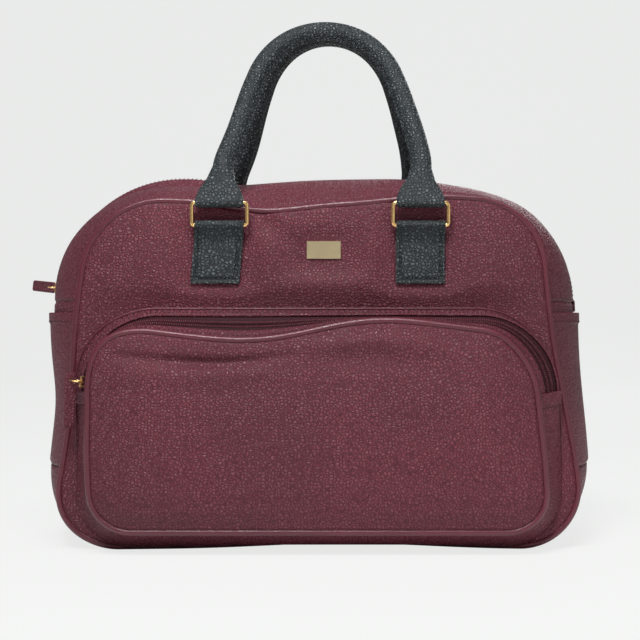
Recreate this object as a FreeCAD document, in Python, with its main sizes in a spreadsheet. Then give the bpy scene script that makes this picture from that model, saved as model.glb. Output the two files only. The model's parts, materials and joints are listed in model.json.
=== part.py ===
import FreeCAD, Part
import math
import os
import re

import PartDesign
import Sketcher
from FreeCAD import Placement, Rotation, Vector

# A soft leather doctor bag with a zipped front pocket, side slip pockets and two rolled handles.
# Front is -Y, the wearer's right is +X, up is +Z. The origin is the middle of the base, on the floor.

SIZES = (
    # alias, value in mm or degrees, what it is
    ("leather", 1.6, "thickness of the bag's leather"),
    ("gap", 0.3, "clearance between pieces that lie beside each other"),
    ("bag_depth", 140, "front panel face to back panel face"),
    ("base_spread", 160, "lower corner centres of the panels, left and right of the middle"),
    ("base_corner", 50, "lower corner radius of the panels"),
    ("top_spread", 125, "upper corner centres of the panels"),
    ("top_corner", 64, "upper corner radius of the panels"),
    ("panel_height", 284, "top of the panels' piping"),
    ("crown_base_corner", 67, "lower corner radius half way between the panels"),
    ("crown_top_spread", 117, "upper corner centres half way between the panels"),
    ("crown_top_corner", 105, "upper corner radius half way between the panels"),
    ("crown_height", 304, "top of the gusset half way between the panels"),
    ("piping_radius", 2.7, "piping round the panels and the pocket"),
    ("seam_inset", 1.5, "how far the piping stands proud of the gusset"),
    ("base_press", 0.6, "how far the base gusset is pressed flat on the floor"),
    ("base_seam_height", 66, "seam between the base gusset and the side gussets"),
    ("padding_thickness", 3.2, "foam behind each panel"),
    ("lining_thickness", 0.8, "lining cloth"),
    ("board_half_width", 150, "base board, half its length"),
    ("board_half_depth", 56, "base board, half its width"),
    ("board_thickness", 2.5, "base board"),
    ("slip_leather", 1.3, "leather of the side slip pockets"),
    ("slip_mouth", 7.5, "how far a slip pocket stands open at its mouth"),
    ("slip_height", 190, "mouth of the slip pockets"),
    # zips
    ("zip_slot", 4.8, "half the slot between the leather strips beside a zip"),
    ("zip_slit", 0.6, "half the slit between the two rows of teeth"),
    ("coil_width", 2.5, "one row of teeth"),
    ("coil_height", 2.2, "height of the teeth over their tape"),
    ("coil_depth", 0.2, "top of the teeth below the leather"),
    ("tape_width", 11.4, "one tape of the main zip"),
    ("pocket_tape_width", 7, "one tape of the pocket zip"),
    ("tape_thickness", 0.7, "zip tape"),
    ("tape_dip", 0.65, "how far the main tape's outer edge falls below its inner edge"),
    ("end_tab_half_width", 9, "leather tab over an end of the main zip"),
    ("end_tab_reach", 8, "end tab below the end of the main zip"),
    ("end_tab_lap", 2, "end tab over the end of the main zip"),
    # front pocket
    ("pocket_depth", 28, "pocket face in front of the panel"),
    ("pocket_base_spread", 145, "lower corner centres of the pocket"),
    ("pocket_base_level", 50, "height of the pocket's lower corner centres"),
    ("pocket_base_corner", 34, "lower corner radius of the pocket face"),
    ("pocket_top_spread", 128, "upper corner centres of the pocket"),
    ("pocket_top_level", 126, "height of the pocket's upper corner centres"),
    ("pocket_top_corner", 52, "upper corner radius of the pocket face"),
    ("pocket_flare", 9, "how much wider the pocket is at its root than at its face"),
    ("cover_reach", 9, "leather cover below the end of the pocket zip"),
    ("cover_thickness", 1.4, "leather cover over an end of the pocket zip"),
    # rings, tabs and handles
    ("ring_spread", 80, "rings, left and right of the middle"),
    ("ring_standoff", 7, "plane of the rings in front of the panel's face"),
    ("ring_level", 259, "height of a ring's lower bar"),
    ("ring_wire", 1.7, "radius of the ring wire"),
    ("ring_half_width", 22, "ring, half its width between wire centres"),
    ("ring_bar_spacing", 18.2, "ring, between its bars"),
    ("ring_corner", 3, "ring, corner radius of the wire's centre line"),
    ("strap_width", 39, "width of the tabs and of the handles' loops"),
    ("loop_radius", 4, "outside of the leather loop round a ring's bar"),
    ("tab_thickness", 4, "two layers of leather"),
    ("tab_bottom", 213, "lower edge of the tabs"),
    ("tab_shoulder", 245, "height where a tab begins to lift off the panel"),
    ("handle_radius", 7.5, "rolled handle"),
    ("grip_oval", 1, "how much wider than thick the rolled handle is, at its seam"),
    ("core_radius", 5, "cord inside the handle"),
    ("handle_rise", 168, "loop to the middle of the grip, along the handle"),
    ("grip_radius", 60, "bend of the grip"),
    ("neck_bend", 60, "bend above each neck"),
    ("neck_height", 32, "loop to the neck, where the flare has become round"),
    ("flare_root_height", 2.6, "lowest section of the flare"),
    ("flare_low_height", 11, "second section of the flare"),
    ("flare_low_width", 33.6, "second section of the flare"),
    ("flare_mid_height", 20, "third section of the flare"),
    ("flare_mid_width", 23, "third section of the flare"),
    ("flare_root_thickness", 5, "lowest section of the flare"),
    ("flare_low_thickness", 6.5, "second section of the flare"),
    ("flare_mid_thickness", 9.5, "third section of the flare"),
    # name plate
    ("plate_x", 3, "name plate, right of the middle"),
    ("plate_level", 240, "height of the name plate's middle"),
    ("plate_width", 27, "name plate"),
    ("plate_height", 14, "name plate"),
    ("plate_thickness", 1.2, "name plate"),
    ("prong_radius", 0.8, "prongs of the name plate"),
    ("prong_spread", 8, "prongs, left and right of the plate's middle"),
    ("backing_margin", 3, "how much smaller the backing plate is than the name plate, each side"),
    ("backing_thickness", 0.8, "backing plate behind the panel"),
    # sliders, pull rings and pull tabs
    ("slider_width", 10, "main slider"),
    ("slider_length", 14, "main slider"),
    ("slider_angle", 6.5, "main slider, up from the start of its corner"),
    ("pocket_slider_width", 9.8, "pocket slider"),
    ("pocket_slider_length", 11, "pocket slider"),
    ("pocket_slider_angle", 9, "pocket slider, up from the start of its corner"),
    ("slider_plate", 1.5, "thickness of a slider's plates"),
    ("slider_web", 0.3, "half the web between a slider's plates"),
    ("slider_flange", 0.9, "thickness of a slider's side flanges"),
    ("slider_sag", 0.7, "extra room under the curved tape"),
    ("bail_level", 4.4, "middle of the lug's bar above the slider's top plate"),
    ("bail_bar", 0.75, "radius of the lug's bar"),
    ("bail_leg", 1.3, "thickness of the lug's legs"),
    ("bail_width", 2.4, "width of the lug's legs"),
    ("bail_span", 6, "room between the lug's legs"),
    ("pull_ring_radius", 5, "centre line of the pull rings"),
    ("pull_ring_wire", 0.65, "radius of the pull rings' wire"),
    ("pull_width", 9.5, "pull tabs"),
    ("pull_thickness", 2.5, "pull tabs"),
    ("pull_length", 44, "pull tabs"),
    ("pull_hole", 1.25, "radius of the hole for the pull ring"),
    ("pull_hole_inset", 6, "hole below the top of a pull tab"),
    ("main_pull_yaw", 53, "main pull ring, turned to the rear"),
)
ALIASES = {alias for alias, value, note in SIZES}

doc = FreeCAD.newDocument("doctor_bag")
sheet = doc.addObject("Spreadsheet::Sheet", "Sizes")
for row, (alias, value, note) in enumerate(SIZES, start=1):
    sheet.set(f"A{row}", alias)
    sheet.set(f"B{row}", str(value))
    sheet.set(f"C{row}", note)
    sheet.setAlias(f"B{row}", alias)
doc.recompute()

nodes = []


# Expressions and sizes

def bound(text):
    """An expression in the sheet's size names, with each name turned into a reference to its cell."""
    return re.sub(r"[a-z_]+", lambda m: "Sizes." + m.group(0) if m.group(0) in ALIASES else m.group(0), text)


def number(text):
    """The present value of such an expression."""
    return float(sheet.evalExpression(bound(text)))


def bind(thing, path, text):
    thing.setExpression(path, bound(text))


HALF_DEPTH = "(bag_depth / 2)"
PIPING_Y = "(bag_depth / 2 - piping_radius)"
GUSSET_END = "(bag_depth / 2 - 2 * piping_radius - gap)"
PANEL_BACK = "(bag_depth / 2 - leather)"
INSIDE_PIPING = "(2 * piping_radius + gap)"
ZIP_END = "(crown_height - crown_top_corner)"
POCKET_FACE_Y = "(bag_depth / 2 + pocket_depth)"
POCKET_ROOT_Y = "(bag_depth / 2 + gap)"
POCKET_LIP_Y = "(bag_depth / 2 + pocket_depth - 2 * piping_radius - gap)"
POCKET_ZIP_Y = "((bag_depth / 2 + pocket_depth - 2 * piping_radius + bag_depth / 2) / 2)"
RING_TOP = "(ring_level + ring_bar_spacing)"
PULL_RING_SWING = "(pull_ring_radius - pull_ring_wire - bail_bar - gap)"
RING_Y = "(bag_depth / 2 + ring_standoff)"
HANDLE_LEAN = f"asin(({RING_Y} - handle_radius - gap / 2) / (handle_rise + grip_oval / 2))"


class Outline:
    """Four corner arcs, given by the centres of the right-hand pair and their radii."""

    def __init__(self, base_x, base_z, base_radius, top_x, top_z, top_radius):
        self.base = (base_x, base_z, base_radius)
        self.top = (top_x, top_z, top_radius)

    def grown(self, base, top=None):
        base_x, base_z, base_radius = self.base
        top_x, top_z, top_radius = self.top
        return Outline(base_x, base_z, f"({base_radius} + {base})",
                       top_x, top_z, f"({top_radius} + {top or base})")

    def corners(self):
        """The corners counter-clockwise, from the lower right."""
        base_x, base_z, base_radius = self.base
        top_x, top_z, top_radius = self.top
        return [(base_x, base_z, base_radius), (top_x, top_z, top_radius),
                (f"-{top_x}", top_z, top_radius), (f"-{base_x}", base_z, base_radius)]

    def upper_corners(self):
        return self.corners()[1:3]


PANEL = Outline("base_spread", "base_corner", "base_corner",
                "top_spread", "(panel_height - top_corner)", "top_corner")
CROWN = Outline("base_spread", "(crown_base_corner - base_press)", "crown_base_corner",
                "crown_top_spread", ZIP_END, "crown_top_corner")
POCKET = Outline("pocket_base_spread", "pocket_base_level", "pocket_base_corner",
                 "pocket_top_spread", "pocket_top_level", "pocket_top_corner")


# Sketches

def origin_plane(body, role):
    return next(feature for feature in body.Origin.OriginFeatures if feature.Role == role)


def body_sketch(body, name, role, offset="0"):
    """A sketch on one of the body's own planes, moved along the plane's normal."""
    sketch = body.newObject("Sketcher::SketchObject", name)
    sketch.AttachmentSupport = (origin_plane(body, role), [""])
    sketch.MapMode = "FlatFace"
    bind(sketch, "AttachmentOffset.Base.z", offset)
    return sketch


def upright_sketch(name, y):
    """A loose sketch in a plane parallel to the panels, at depth y."""
    sketch = doc.addObject("Sketcher::SketchObject", name)
    sketch.Placement = Placement(Vector(), Rotation(Vector(1, 0, 0), 90))
    bind(sketch, "Placement.Base.y", y)
    return sketch


def fix(sketch, kind, expression, *where):
    """A dimension of the sketch bound to an expression."""
    index = sketch.addConstraint(Sketcher.Constraint(kind, *where, number(expression)))
    name = f"{kind}{index}"
    sketch.renameConstraint(index, name)
    bind(sketch, "Constraints." + name, expression)


def place_point(sketch, geometry, point, x, y):
    fix(sketch, "DistanceX", x, -1, 1, geometry, point)
    fix(sketch, "DistanceY", y, -1, 1, geometry, point)


def link_angle(corner, following):
    """Direction in which the line that touches two corner arcs lies outside their centres."""
    along = (number(following[0]) - number(corner[0]), number(following[1]) - number(corner[1]))
    slack = (number(corner[2]) - number(following[2])) / math.hypot(*along)
    return math.atan2(along[1], along[0]) - math.acos(slack)


def draw_chain(sketch, corners, closed=True):
    """Corner arcs counter-clockwise about fixed centres, joined by lines tangent to them.

    An open chain starts level with its first centre and ends level with its last.
    """
    count = len(corners)
    links = count if closed else count - 1
    turns = [link_angle(corners[i], corners[(i + 1) % count]) for i in range(links)]
    starts = [turns[i - 1] if closed or i > 0 else 0.0 for i in range(count)]
    ends = [turns[i] if closed or i < count - 1 else math.pi for i in range(count)]
    first = sketch.GeometryCount
    for (x, y, radius), start, end in zip(corners, starts, ends):
        while end <= start:
            end += 2 * math.pi
        circle = Part.Circle(Vector(number(x), number(y), 0), Vector(0, 0, 1), number(radius))
        sketch.addGeometry(Part.ArcOfCircle(circle, start, end), False)
    for i in range(links):
        ahead = first + (i + 1) % count
        tail = sketch.Geometry[first + i].EndPoint
        head = sketch.Geometry[ahead].StartPoint
        line = sketch.addGeometry(Part.LineSegment(tail, head), False)
        sketch.addConstraint(Sketcher.Constraint("Tangent", first + i, 2, line, 1))
        sketch.addConstraint(Sketcher.Constraint("Tangent", line, 2, ahead, 1))
    for i, (x, y, radius) in enumerate(corners, start=first):
        place_point(sketch, i, 3, x, y)
        fix(sketch, "Radius", radius, i)
    if not closed:
        sketch.addConstraint(Sketcher.Constraint("Horizontal", first, 1, first, 3))
        sketch.addConstraint(Sketcher.Constraint("Horizontal", first + count - 1, 2, first + count - 1, 3))
    return sketch


def draw_polygon(sketch, points):
    """A closed polygon with both coordinates of each corner bound."""
    places = [Vector(number(x), number(y), 0) for x, y in points]
    first = sketch.GeometryCount
    count = len(points)
    for i in range(count):
        sketch.addGeometry(Part.LineSegment(places[i], places[(i + 1) % count]), False)
    for i in range(count):
        ahead = first + (i + 1) % count
        sketch.addConstraint(Sketcher.Constraint("Coincident", first + i, 2, ahead, 1))
        place_point(sketch, first + i, 1, *points[i])
    return sketch


def draw_box(sketch, x_low, x_high, y_low, y_high):
    corners = [(x_low, y_low), (x_high, y_low), (x_high, y_high), (x_low, y_high)]
    return draw_polygon(sketch, corners)


def draw_circle(sketch, x, y, radius):
    circle = Part.Circle(Vector(number(x), number(y), 0), Vector(0, 0, 1), number(radius))
    index = sketch.addGeometry(circle, False)
    place_point(sketch, index, 3, x, y)
    fix(sketch, "Radius", radius, index)
    return sketch


# Features

def new_body(name):
    body = doc.addObject("PartDesign::Body", name)
    body.Label = name
    nodes.append(body)
    return body


def extrude(body, kind, sketch, length, reverse=False, symmetric=False):
    feature = body.newObject("PartDesign::" + kind, f"{sketch.Name}_{kind}")
    feature.Profile = sketch
    feature.SideType = "Symmetric" if symmetric else "One side"
    feature.Reversed = reverse
    bind(feature, "Length", length)
    return feature


def sweep(body, kind, profile, path):
    feature = body.newObject("PartDesign::" + kind, f"{profile.Name}_{kind}")
    feature.Profile = profile
    feature.Spine = (path, [])
    return feature


def loft(name, sections):
    feature = doc.addObject("Part::Loft", name)
    feature.Sections = sections
    feature.Solid = True
    feature.Ruled = len(sections) == 2
    return feature


def combine(kind, name, base, tool, keep=False):
    """A boolean of two objects; keep makes the result a sub-part."""
    feature = doc.addObject("Part::" + kind, name)
    feature.Base = base
    feature.Tool = tool
    feature.Refine = False
    if keep:
        feature.Label = name
        nodes.append(feature)
    return feature


WIDE = ("-2 * bag_depth - base_spread", "2 * bag_depth + base_spread")


def region(name, x=WIDE, y=WIDE, z=WIDE):
    """A box, much wider than the bag wherever no range is given, that picks out a piece of a shell."""
    box = doc.addObject("Part::Box", name)
    for (low, high), side, axis in zip((x, y, z), ("Length", "Width", "Height"), "xyz"):
        bind(box, side, f"({high}) - ({low})")
        bind(box, "Placement.Base." + axis, low)
    return box


def crowned(name, end, middle, end_y=GUSSET_END):
    """A solid that bulges from the outline at both panels to the crown between them."""
    sections = []
    for part, (outline, y) in enumerate(((end, "-" + end_y), (middle, "0"), (end, end_y))):
        sections.append(draw_chain(upright_sketch(f"{name}_section_{part}", y), outline.corners()))
    return loft(name, sections)


# Panels, piping and padding

def add_panel(name, outline, face_y, front, thickness="leather", margin=INSIDE_PIPING):
    """A flat sheet whose outer face is at depth face_y, inside the piping's outline."""
    body = new_body(name)
    sheet_offset = face_y if front else "-" + face_y
    sketch = body_sketch(body, name + "_outline", "XZ_Plane", sheet_offset)
    draw_chain(sketch, outline.grown(f"(0 - {margin})").corners())
    extrude(body, "Pad", sketch, thickness, reverse=front)
    return body


def add_piping(name, outline, centre_y, front):
    body = new_body(name)
    path = body_sketch(body, name + "_path", "XZ_Plane", centre_y if front else "-" + centre_y)
    draw_chain(path, outline.grown("(0 - piping_radius)").corners())
    profile = body_sketch(body, name + "_section", "YZ_Plane")
    _, base_z, base_radius = outline.base
    draw_circle(profile, ("-" if front else "") + centre_y,
                f"({base_z} - {base_radius} + piping_radius)", "piping_radius")
    sweep(body, "AdditivePipe", profile, path)


def cut_prong_holes(body, name, depth_y, radius):
    """Two holes for the name plate's prongs, through whatever the body has behind depth_y."""
    holes = body_sketch(body, name, "XZ_Plane", depth_y)
    for side in ("-", "+"):
        draw_circle(holes, f"(plate_x {side} prong_spread)", "plate_level", radius)
    extrude(body, "Pocket", holes, "2 * leather", reverse=False)


def add_panels():
    front_panel = add_panel("front_panel", PANEL, HALF_DEPTH, True)
    cut_prong_holes(front_panel, "prong_holes", HALF_DEPTH, "(prong_radius + gap / 2)")
    add_panel("back_panel", PANEL, HALF_DEPTH, False)
    add_piping("front_piping", PANEL, PIPING_Y, True)
    add_piping("back_piping", PANEL, PIPING_Y, False)
    padding_face = f"({PANEL_BACK} - gap)"
    front_padding = add_panel("front_padding", PANEL, padding_face, True, "padding_thickness")
    window = body_sketch(front_padding, "backing_window", "XZ_Plane", padding_face)
    draw_box(window, "plate_x - plate_width / 2", "plate_x + plate_width / 2",
             "plate_level - plate_height / 2", "plate_level + plate_height / 2")
    extrude(front_padding, "Pocket", window, "2 * padding_thickness")
    add_panel("back_padding", PANEL, padding_face, False, "padding_thickness")


def add_name_plate():
    """A bare metal plate; two prongs go through the panel into a backing plate."""
    plate = new_body("name_plate")
    face = body_sketch(plate, "plate_face", "XZ_Plane", HALF_DEPTH)
    draw_box(face, "plate_x - plate_width / 2", "plate_x + plate_width / 2",
             "plate_level - plate_height / 2", "plate_level + plate_height / 2")
    extrude(plate, "Pad", face, "plate_thickness")
    prongs = body_sketch(plate, "prongs", "XZ_Plane", HALF_DEPTH)
    for side in ("-", "+"):
        draw_circle(prongs, f"(plate_x {side} prong_spread)", "plate_level", "prong_radius")
    extrude(plate, "Pad", prongs, "leather + gap + backing_thickness", reverse=True)

    backing = new_body("name_plate_backing")
    back_y = f"({PANEL_BACK} - gap)"
    outline = body_sketch(backing, "backing_outline", "XZ_Plane", back_y)
    half_width = "(plate_width / 2 - backing_margin)"
    half_height = "(plate_height / 2 - backing_margin)"
    draw_box(outline, f"plate_x - {half_width}", f"plate_x + {half_width}",
             f"plate_level - {half_height}", f"plate_level + {half_height}")
    extrude(backing, "Pad", outline, "backing_thickness", reverse=True)
    cut_prong_holes(backing, "backing_holes", back_y, "(prong_radius + gap / 2)")


# Gusset, lining and side pockets

def add_gusset():
    """The band between the panels: base, sides, and two strips beside the main zip."""
    end = PANEL.grown("(0 - seam_inset)")
    outer = crowned("gusset_outer", end, CROWN)
    inner = crowned("gusset_inner", end.grown("(0 - leather)"), CROWN.grown("(0 - leather)"))
    shell = combine("Cut", "gusset_shell", outer, inner)
    pieces = (
        ("base_gusset", WIDE, WIDE, ("0", "base_seam_height")),
        ("left_side_gusset", (WIDE[0], "0"), WIDE, ("base_seam_height", ZIP_END)),
        ("right_side_gusset", ("0", WIDE[1]), WIDE, ("base_seam_height", ZIP_END)),
        ("top_gusset_front", WIDE, (WIDE[0], "-zip_slot"), (ZIP_END, WIDE[1])),
        ("top_gusset_rear", WIDE, ("zip_slot", WIDE[1]), (ZIP_END, WIDE[1])),
    )
    for name, x, y, z in pieces:
        combine("Common", name, shell, region(name + "_region", x, y, z), keep=True)


def add_lining():
    """A cloth shell just inside the leather, slotted where the zip tapes run, and its base board."""
    inset = "(0 - leather - gap)"
    end = PANEL.grown("(0 - seam_inset)").grown(inset)
    crown = CROWN.grown(inset)
    outer = crowned("lining_outer", end, crown)
    inner = crowned("lining_inner", end.grown("(0 - lining_thickness)"),
                    crown.grown("(0 - lining_thickness)"), f"({GUSSET_END} - lining_thickness)")
    shell = combine("Cut", "lining_shell", outer, inner)
    edge = "(zip_slit + tape_width + gap)"
    slot = region("lining_slot", WIDE, ("-" + edge, edge), (ZIP_END + " - gap", WIDE[1]))
    combine("Cut", "lining", shell, slot, keep=True)

    board = new_body("base_board")
    outline = body_sketch(board, "board_outline", "XY_Plane",
                          "(seam_inset + leather + lining_thickness + 2 * gap)")
    draw_box(outline, "-board_half_width", "board_half_width", "-board_half_depth", "board_half_depth")
    extrude(board, "Pad", outline, "board_thickness")


def add_slip_pockets():
    """An open pocket on each side gusset: closed at its seams and standing open at its mouth."""
    end = PANEL.grown("(0 - seam_inset + gap)")
    middle = CROWN.grown("gap", "(gap + slip_mouth)")
    inner = crowned("slip_inner", end, middle)
    outer = crowned("slip_outer", end.grown("slip_leather"), middle.grown("slip_leather"))
    shell = combine("Cut", "slip_shell", outer, inner)
    level = ("base_seam_height", "slip_height")
    depth = (f"-{GUSSET_END}", GUSSET_END)
    for name, x in (("left_slip_pocket", (WIDE[0], "0")), ("right_slip_pocket", ("0", WIDE[1]))):
        combine("Common", name, shell, region(name + "_region", x, depth, level), keep=True)


def add_end_tabs():
    """A leather tab folded over each end of the main zip."""
    end = PANEL.grown("(0 - seam_inset + gap)")
    middle = CROWN.grown("gap")
    inner = crowned("end_tab_inner", end, middle)
    outer = crowned("end_tab_outer", end.grown("leather"), middle.grown("leather"))
    shell = combine("Cut", "end_tab_shell", outer, inner)
    depth = ("-end_tab_half_width", "end_tab_half_width")
    level = (ZIP_END + " - end_tab_reach", ZIP_END + " + end_tab_lap")
    for name, x in (("main_zip_left_end_tab", (WIDE[0], "0")), ("main_zip_right_end_tab", ("0", WIDE[1]))):
        combine("Common", name, shell, region(name + "_region", x, depth, level), keep=True)


# Front pocket

POCKET_ROOT = POCKET.grown("pocket_flare")
POCKET_LIP = POCKET.grown("(0 - seam_inset)")


def pocket_wall(name, growth):
    """The solid inside the pocket's slanting wall, grown or shrunk."""
    root = draw_chain(upright_sketch(name + "_root", "-" + POCKET_ROOT_Y),
                      POCKET_ROOT.grown(growth).corners())
    lip = draw_chain(upright_sketch(name + "_lip", "-" + POCKET_LIP_Y),
                     POCKET_LIP.grown(growth).corners())
    return loft(name, [root, lip])


def add_front_pocket():
    add_panel("pocket_face", POCKET, POCKET_FACE_Y, True)
    add_piping("pocket_piping", POCKET, f"({POCKET_FACE_Y} - piping_radius)", True)

    wall = combine("Cut", "pocket_wall", pocket_wall("pocket_outer", "0"),
                   pocket_wall("pocket_inner", "(0 - leather)"))
    pieces = (
        ("pocket_lower_gusset", WIDE, (WIDE[0], "pocket_top_level")),
        ("pocket_front_strip", (WIDE[0], f"-{POCKET_ZIP_Y} - zip_slot * cos({POCKET_SLOPE})"),
         ("pocket_top_level", WIDE[1])),
        ("pocket_rear_strip",
         (f"-{POCKET_ZIP_Y} + zip_slot * cos({POCKET_SLOPE}) + leather * sin({POCKET_SLOPE})", WIDE[1]),
         ("pocket_top_level", WIDE[1])),
    )
    for name, y, z in pieces:
        combine("Common", name, wall, region(name + "_region", WIDE, y, z), keep=True)

    cover = combine("Cut", "pocket_cover_shell", pocket_wall("cover_outer", "(gap + cover_thickness)"),
                    pocket_wall("cover_inner", "gap"))
    level = ("pocket_top_level - cover_reach", "pocket_top_level + end_tab_lap")
    for name, x in (("pocket_left_end_cover", (WIDE[0], "0")), ("pocket_right_end_cover", ("0", WIDE[1]))):
        combine("Common", name, cover, region(name + "_region", x, WIDE, level), keep=True)


# Zips

class ZipLine:
    """Where a zip runs: over two upper corners, at depth y, on a wall that slopes towards the rear."""

    def __init__(self, corner, y, slope, tape_width, tape_dip):
        self.x, self.z, self.radius = corner
        self.y = y
        self.slope = slope
        self.tape_width = tape_width
        self.tape_dip = tape_dip

    def across(self, along, height, side):
        """A point of the zip's section at its right-hand end, in plan: along the wall and above it."""
        run = f"({side} * ({along}))"
        x = f"({self.x} + {self.radius} + ({height}) * cos({self.slope}) + {run} * sin({self.slope}))"
        y = f"({self.y} + {run} * cos({self.slope}) - ({height}) * sin({self.slope}))"
        return x, y


POCKET_SLOPE = f"atan((pocket_flare + seam_inset) / ({POCKET_LIP_Y} - {POCKET_ROOT_Y}))"
POCKET_ZIP_CORNER = ("pocket_top_spread", "pocket_top_level",
                     "(pocket_top_corner + (pocket_flare - seam_inset) / 2)")
MAIN_ZIP = ZipLine(CROWN.top, "0", "0", "tape_width", "tape_dip")
POCKET_ZIP = ZipLine(POCKET_ZIP_CORNER, "(0 - " + POCKET_ZIP_Y + ")", POCKET_SLOPE, "pocket_tape_width", "0")


def add_stringer(name, line, side):
    """One tape with its row of teeth, run over both corners."""
    body = new_body(name)
    path = body_sketch(body, name + "_path", "XZ_Plane", f"(0 - {line.y})")
    draw_chain(path, [(line.x, line.z, line.radius), (f"-{line.x}", line.z, line.radius)], closed=False)
    profile = body_sketch(body, name + "_section", "XY_Plane", line.z)
    tape_top = "(0 - coil_depth - coil_height)"
    tape_edge = f"(zip_slit + {line.tape_width})"
    draw_polygon(profile, [
        line.across("zip_slit", "0 - coil_depth", side),
        line.across("zip_slit + coil_width", "0 - coil_depth", side),
        line.across("zip_slit + coil_width", tape_top, side),
        line.across(tape_edge, f"{tape_top} - {line.tape_dip}", side),
        line.across(tape_edge, f"{tape_top} - {line.tape_dip} - tape_thickness", side),
        line.across("zip_slit", f"{tape_top} - tape_thickness", side),
    ])
    sweep(body, "AdditivePipe", profile, path)


def add_zips():
    add_stringer("main_zip_front_stringer", MAIN_ZIP, "-1")
    add_stringer("main_zip_rear_stringer", MAIN_ZIP, "1")
    add_stringer("pocket_zip_front_stringer", POCKET_ZIP, "-1")
    add_stringer("pocket_zip_rear_stringer", POCKET_ZIP, "1")


# Tabs, rings and handles

def add_tab(name, x, turned):
    """A leather tab sewn to the panel, folded round the ring's lower bar."""
    body = new_body(name)
    body.Placement = Placement(Vector(), Rotation(Vector(0, 0, 1), 180 if turned else 0))
    bind(body, "Placement.Base.x", x)
    side = body_sketch(body, name + "_side", "YZ_Plane")
    front = f"(0 - {HALF_DEPTH} - tab_thickness)"
    draw_polygon(side, [
        ("(0 - bag_depth / 2)", "tab_bottom"),
        (front, "tab_bottom"),
        (front, "tab_shoulder"),
        (f"(0 - {RING_Y} - loop_radius)", "ring_level"),
        (f"(0 - {RING_Y} + loop_radius)", "ring_level"),
        ("(0 - bag_depth / 2)", "(tab_shoulder + 2 * tab_thickness)"),
    ])
    extrude(body, "Pad", side, "strap_width", symmetric=True)
    loop = body_sketch(body, name + "_loop", "YZ_Plane")
    draw_circle(loop, "-" + RING_Y, "ring_level", "loop_radius")
    extrude(body, "Pad", loop, "strap_width", symmetric=True)
    bore = body_sketch(body, name + "_bore", "YZ_Plane")
    draw_circle(bore, "-" + RING_Y, "ring_level", "(ring_wire + gap)")
    extrude(body, "Pocket", bore, "2 * strap_width", symmetric=True)


def add_ring(name, x, y):
    """A rounded rectangle of wire, standing on its lower bar's axis."""
    body = new_body(name)
    bind(body, "Placement.Base.x", x)
    bind(body, "Placement.Base.y", y)
    bind(body, "Placement.Base.z", "ring_level")
    path = body_sketch(body, name + "_path", "XZ_Plane")
    reach = "(ring_half_width - ring_corner)"
    high = "(ring_bar_spacing - ring_corner)"
    draw_chain(path, [(reach, "ring_corner", "ring_corner"), (reach, high, "ring_corner"),
                      ("-" + reach, high, "ring_corner"), ("-" + reach, "ring_corner", "ring_corner")])
    profile = body_sketch(body, name + "_section", "YZ_Plane")
    draw_circle(profile, "0", "0", "ring_wire")
    sweep(body, "AdditivePipe", profile, path)


HANDLE_CORNERS = [
    ("(ring_spread - neck_bend)", "neck_height", "neck_bend"),
    ("0", "(handle_rise - grip_radius)", "grip_radius"),
    ("(0 - ring_spread + neck_bend)", "neck_height", "neck_bend"),
]
FLARE = (
    # height above the loop, width, thickness
    ("flare_root_height", "strap_width", "flare_root_thickness"),
    ("flare_low_height", "flare_low_width", "flare_low_thickness"),
    ("flare_mid_height", "flare_mid_width", "flare_mid_thickness"),
    ("neck_height", "(2 * handle_radius + grip_oval)", "(2 * handle_radius)"),
)


def set_handle_place(thing, y, lean):
    """A handle's own frame: origin between its loops, Z along its lean."""
    thing.Placement = Placement(Vector(), Rotation(Vector(1, 0, 0), number(lean)))
    bind(thing, "Placement.Base.y", y)
    bind(thing, "Placement.Base.z", RING_TOP)
    bind(thing, "Placement.Rotation.Angle", lean)


def draw_oval(sketch, middle, width, thickness):
    """A flat oval across the handle, as wide and as thick as given."""
    reach = f"(({width} - {thickness}) / 2)"
    return draw_chain(sketch, [(f"({middle} + {reach})", "0", f"({thickness} / 2)"),
                               (f"({middle} - {reach})", "0", f"({thickness} / 2)")])


def rolled_body(name, radius, oval=None):
    """A round or oval bar along the handle's path, from neck to neck."""
    body = doc.addObject("PartDesign::Body", name)
    path = body_sketch(body, name + "_path", "XZ_Plane")
    draw_chain(path, HANDLE_CORNERS, closed=False)
    section = body_sketch(body, name + "_section", "XY_Plane", "neck_height")
    if oval:
        draw_oval(section, "ring_spread", f"(2 * {radius} + {oval})", f"(2 * {radius})")
    else:
        draw_circle(section, "ring_spread", "0", radius)
    sweep(body, "AdditivePipe", section, path)
    return body


def bar_along_x(name, radius, middle, length):
    cylinder = doc.addObject("Part::Cylinder", name)
    cylinder.Placement = Placement(Vector(), Rotation(Vector(0, 1, 0), 90))
    bind(cylinder, "Radius", radius)
    bind(cylinder, "Height", length)
    bind(cylinder, "Placement.Base.x", f"{middle} - ({length}) / 2")
    return cylinder


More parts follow.
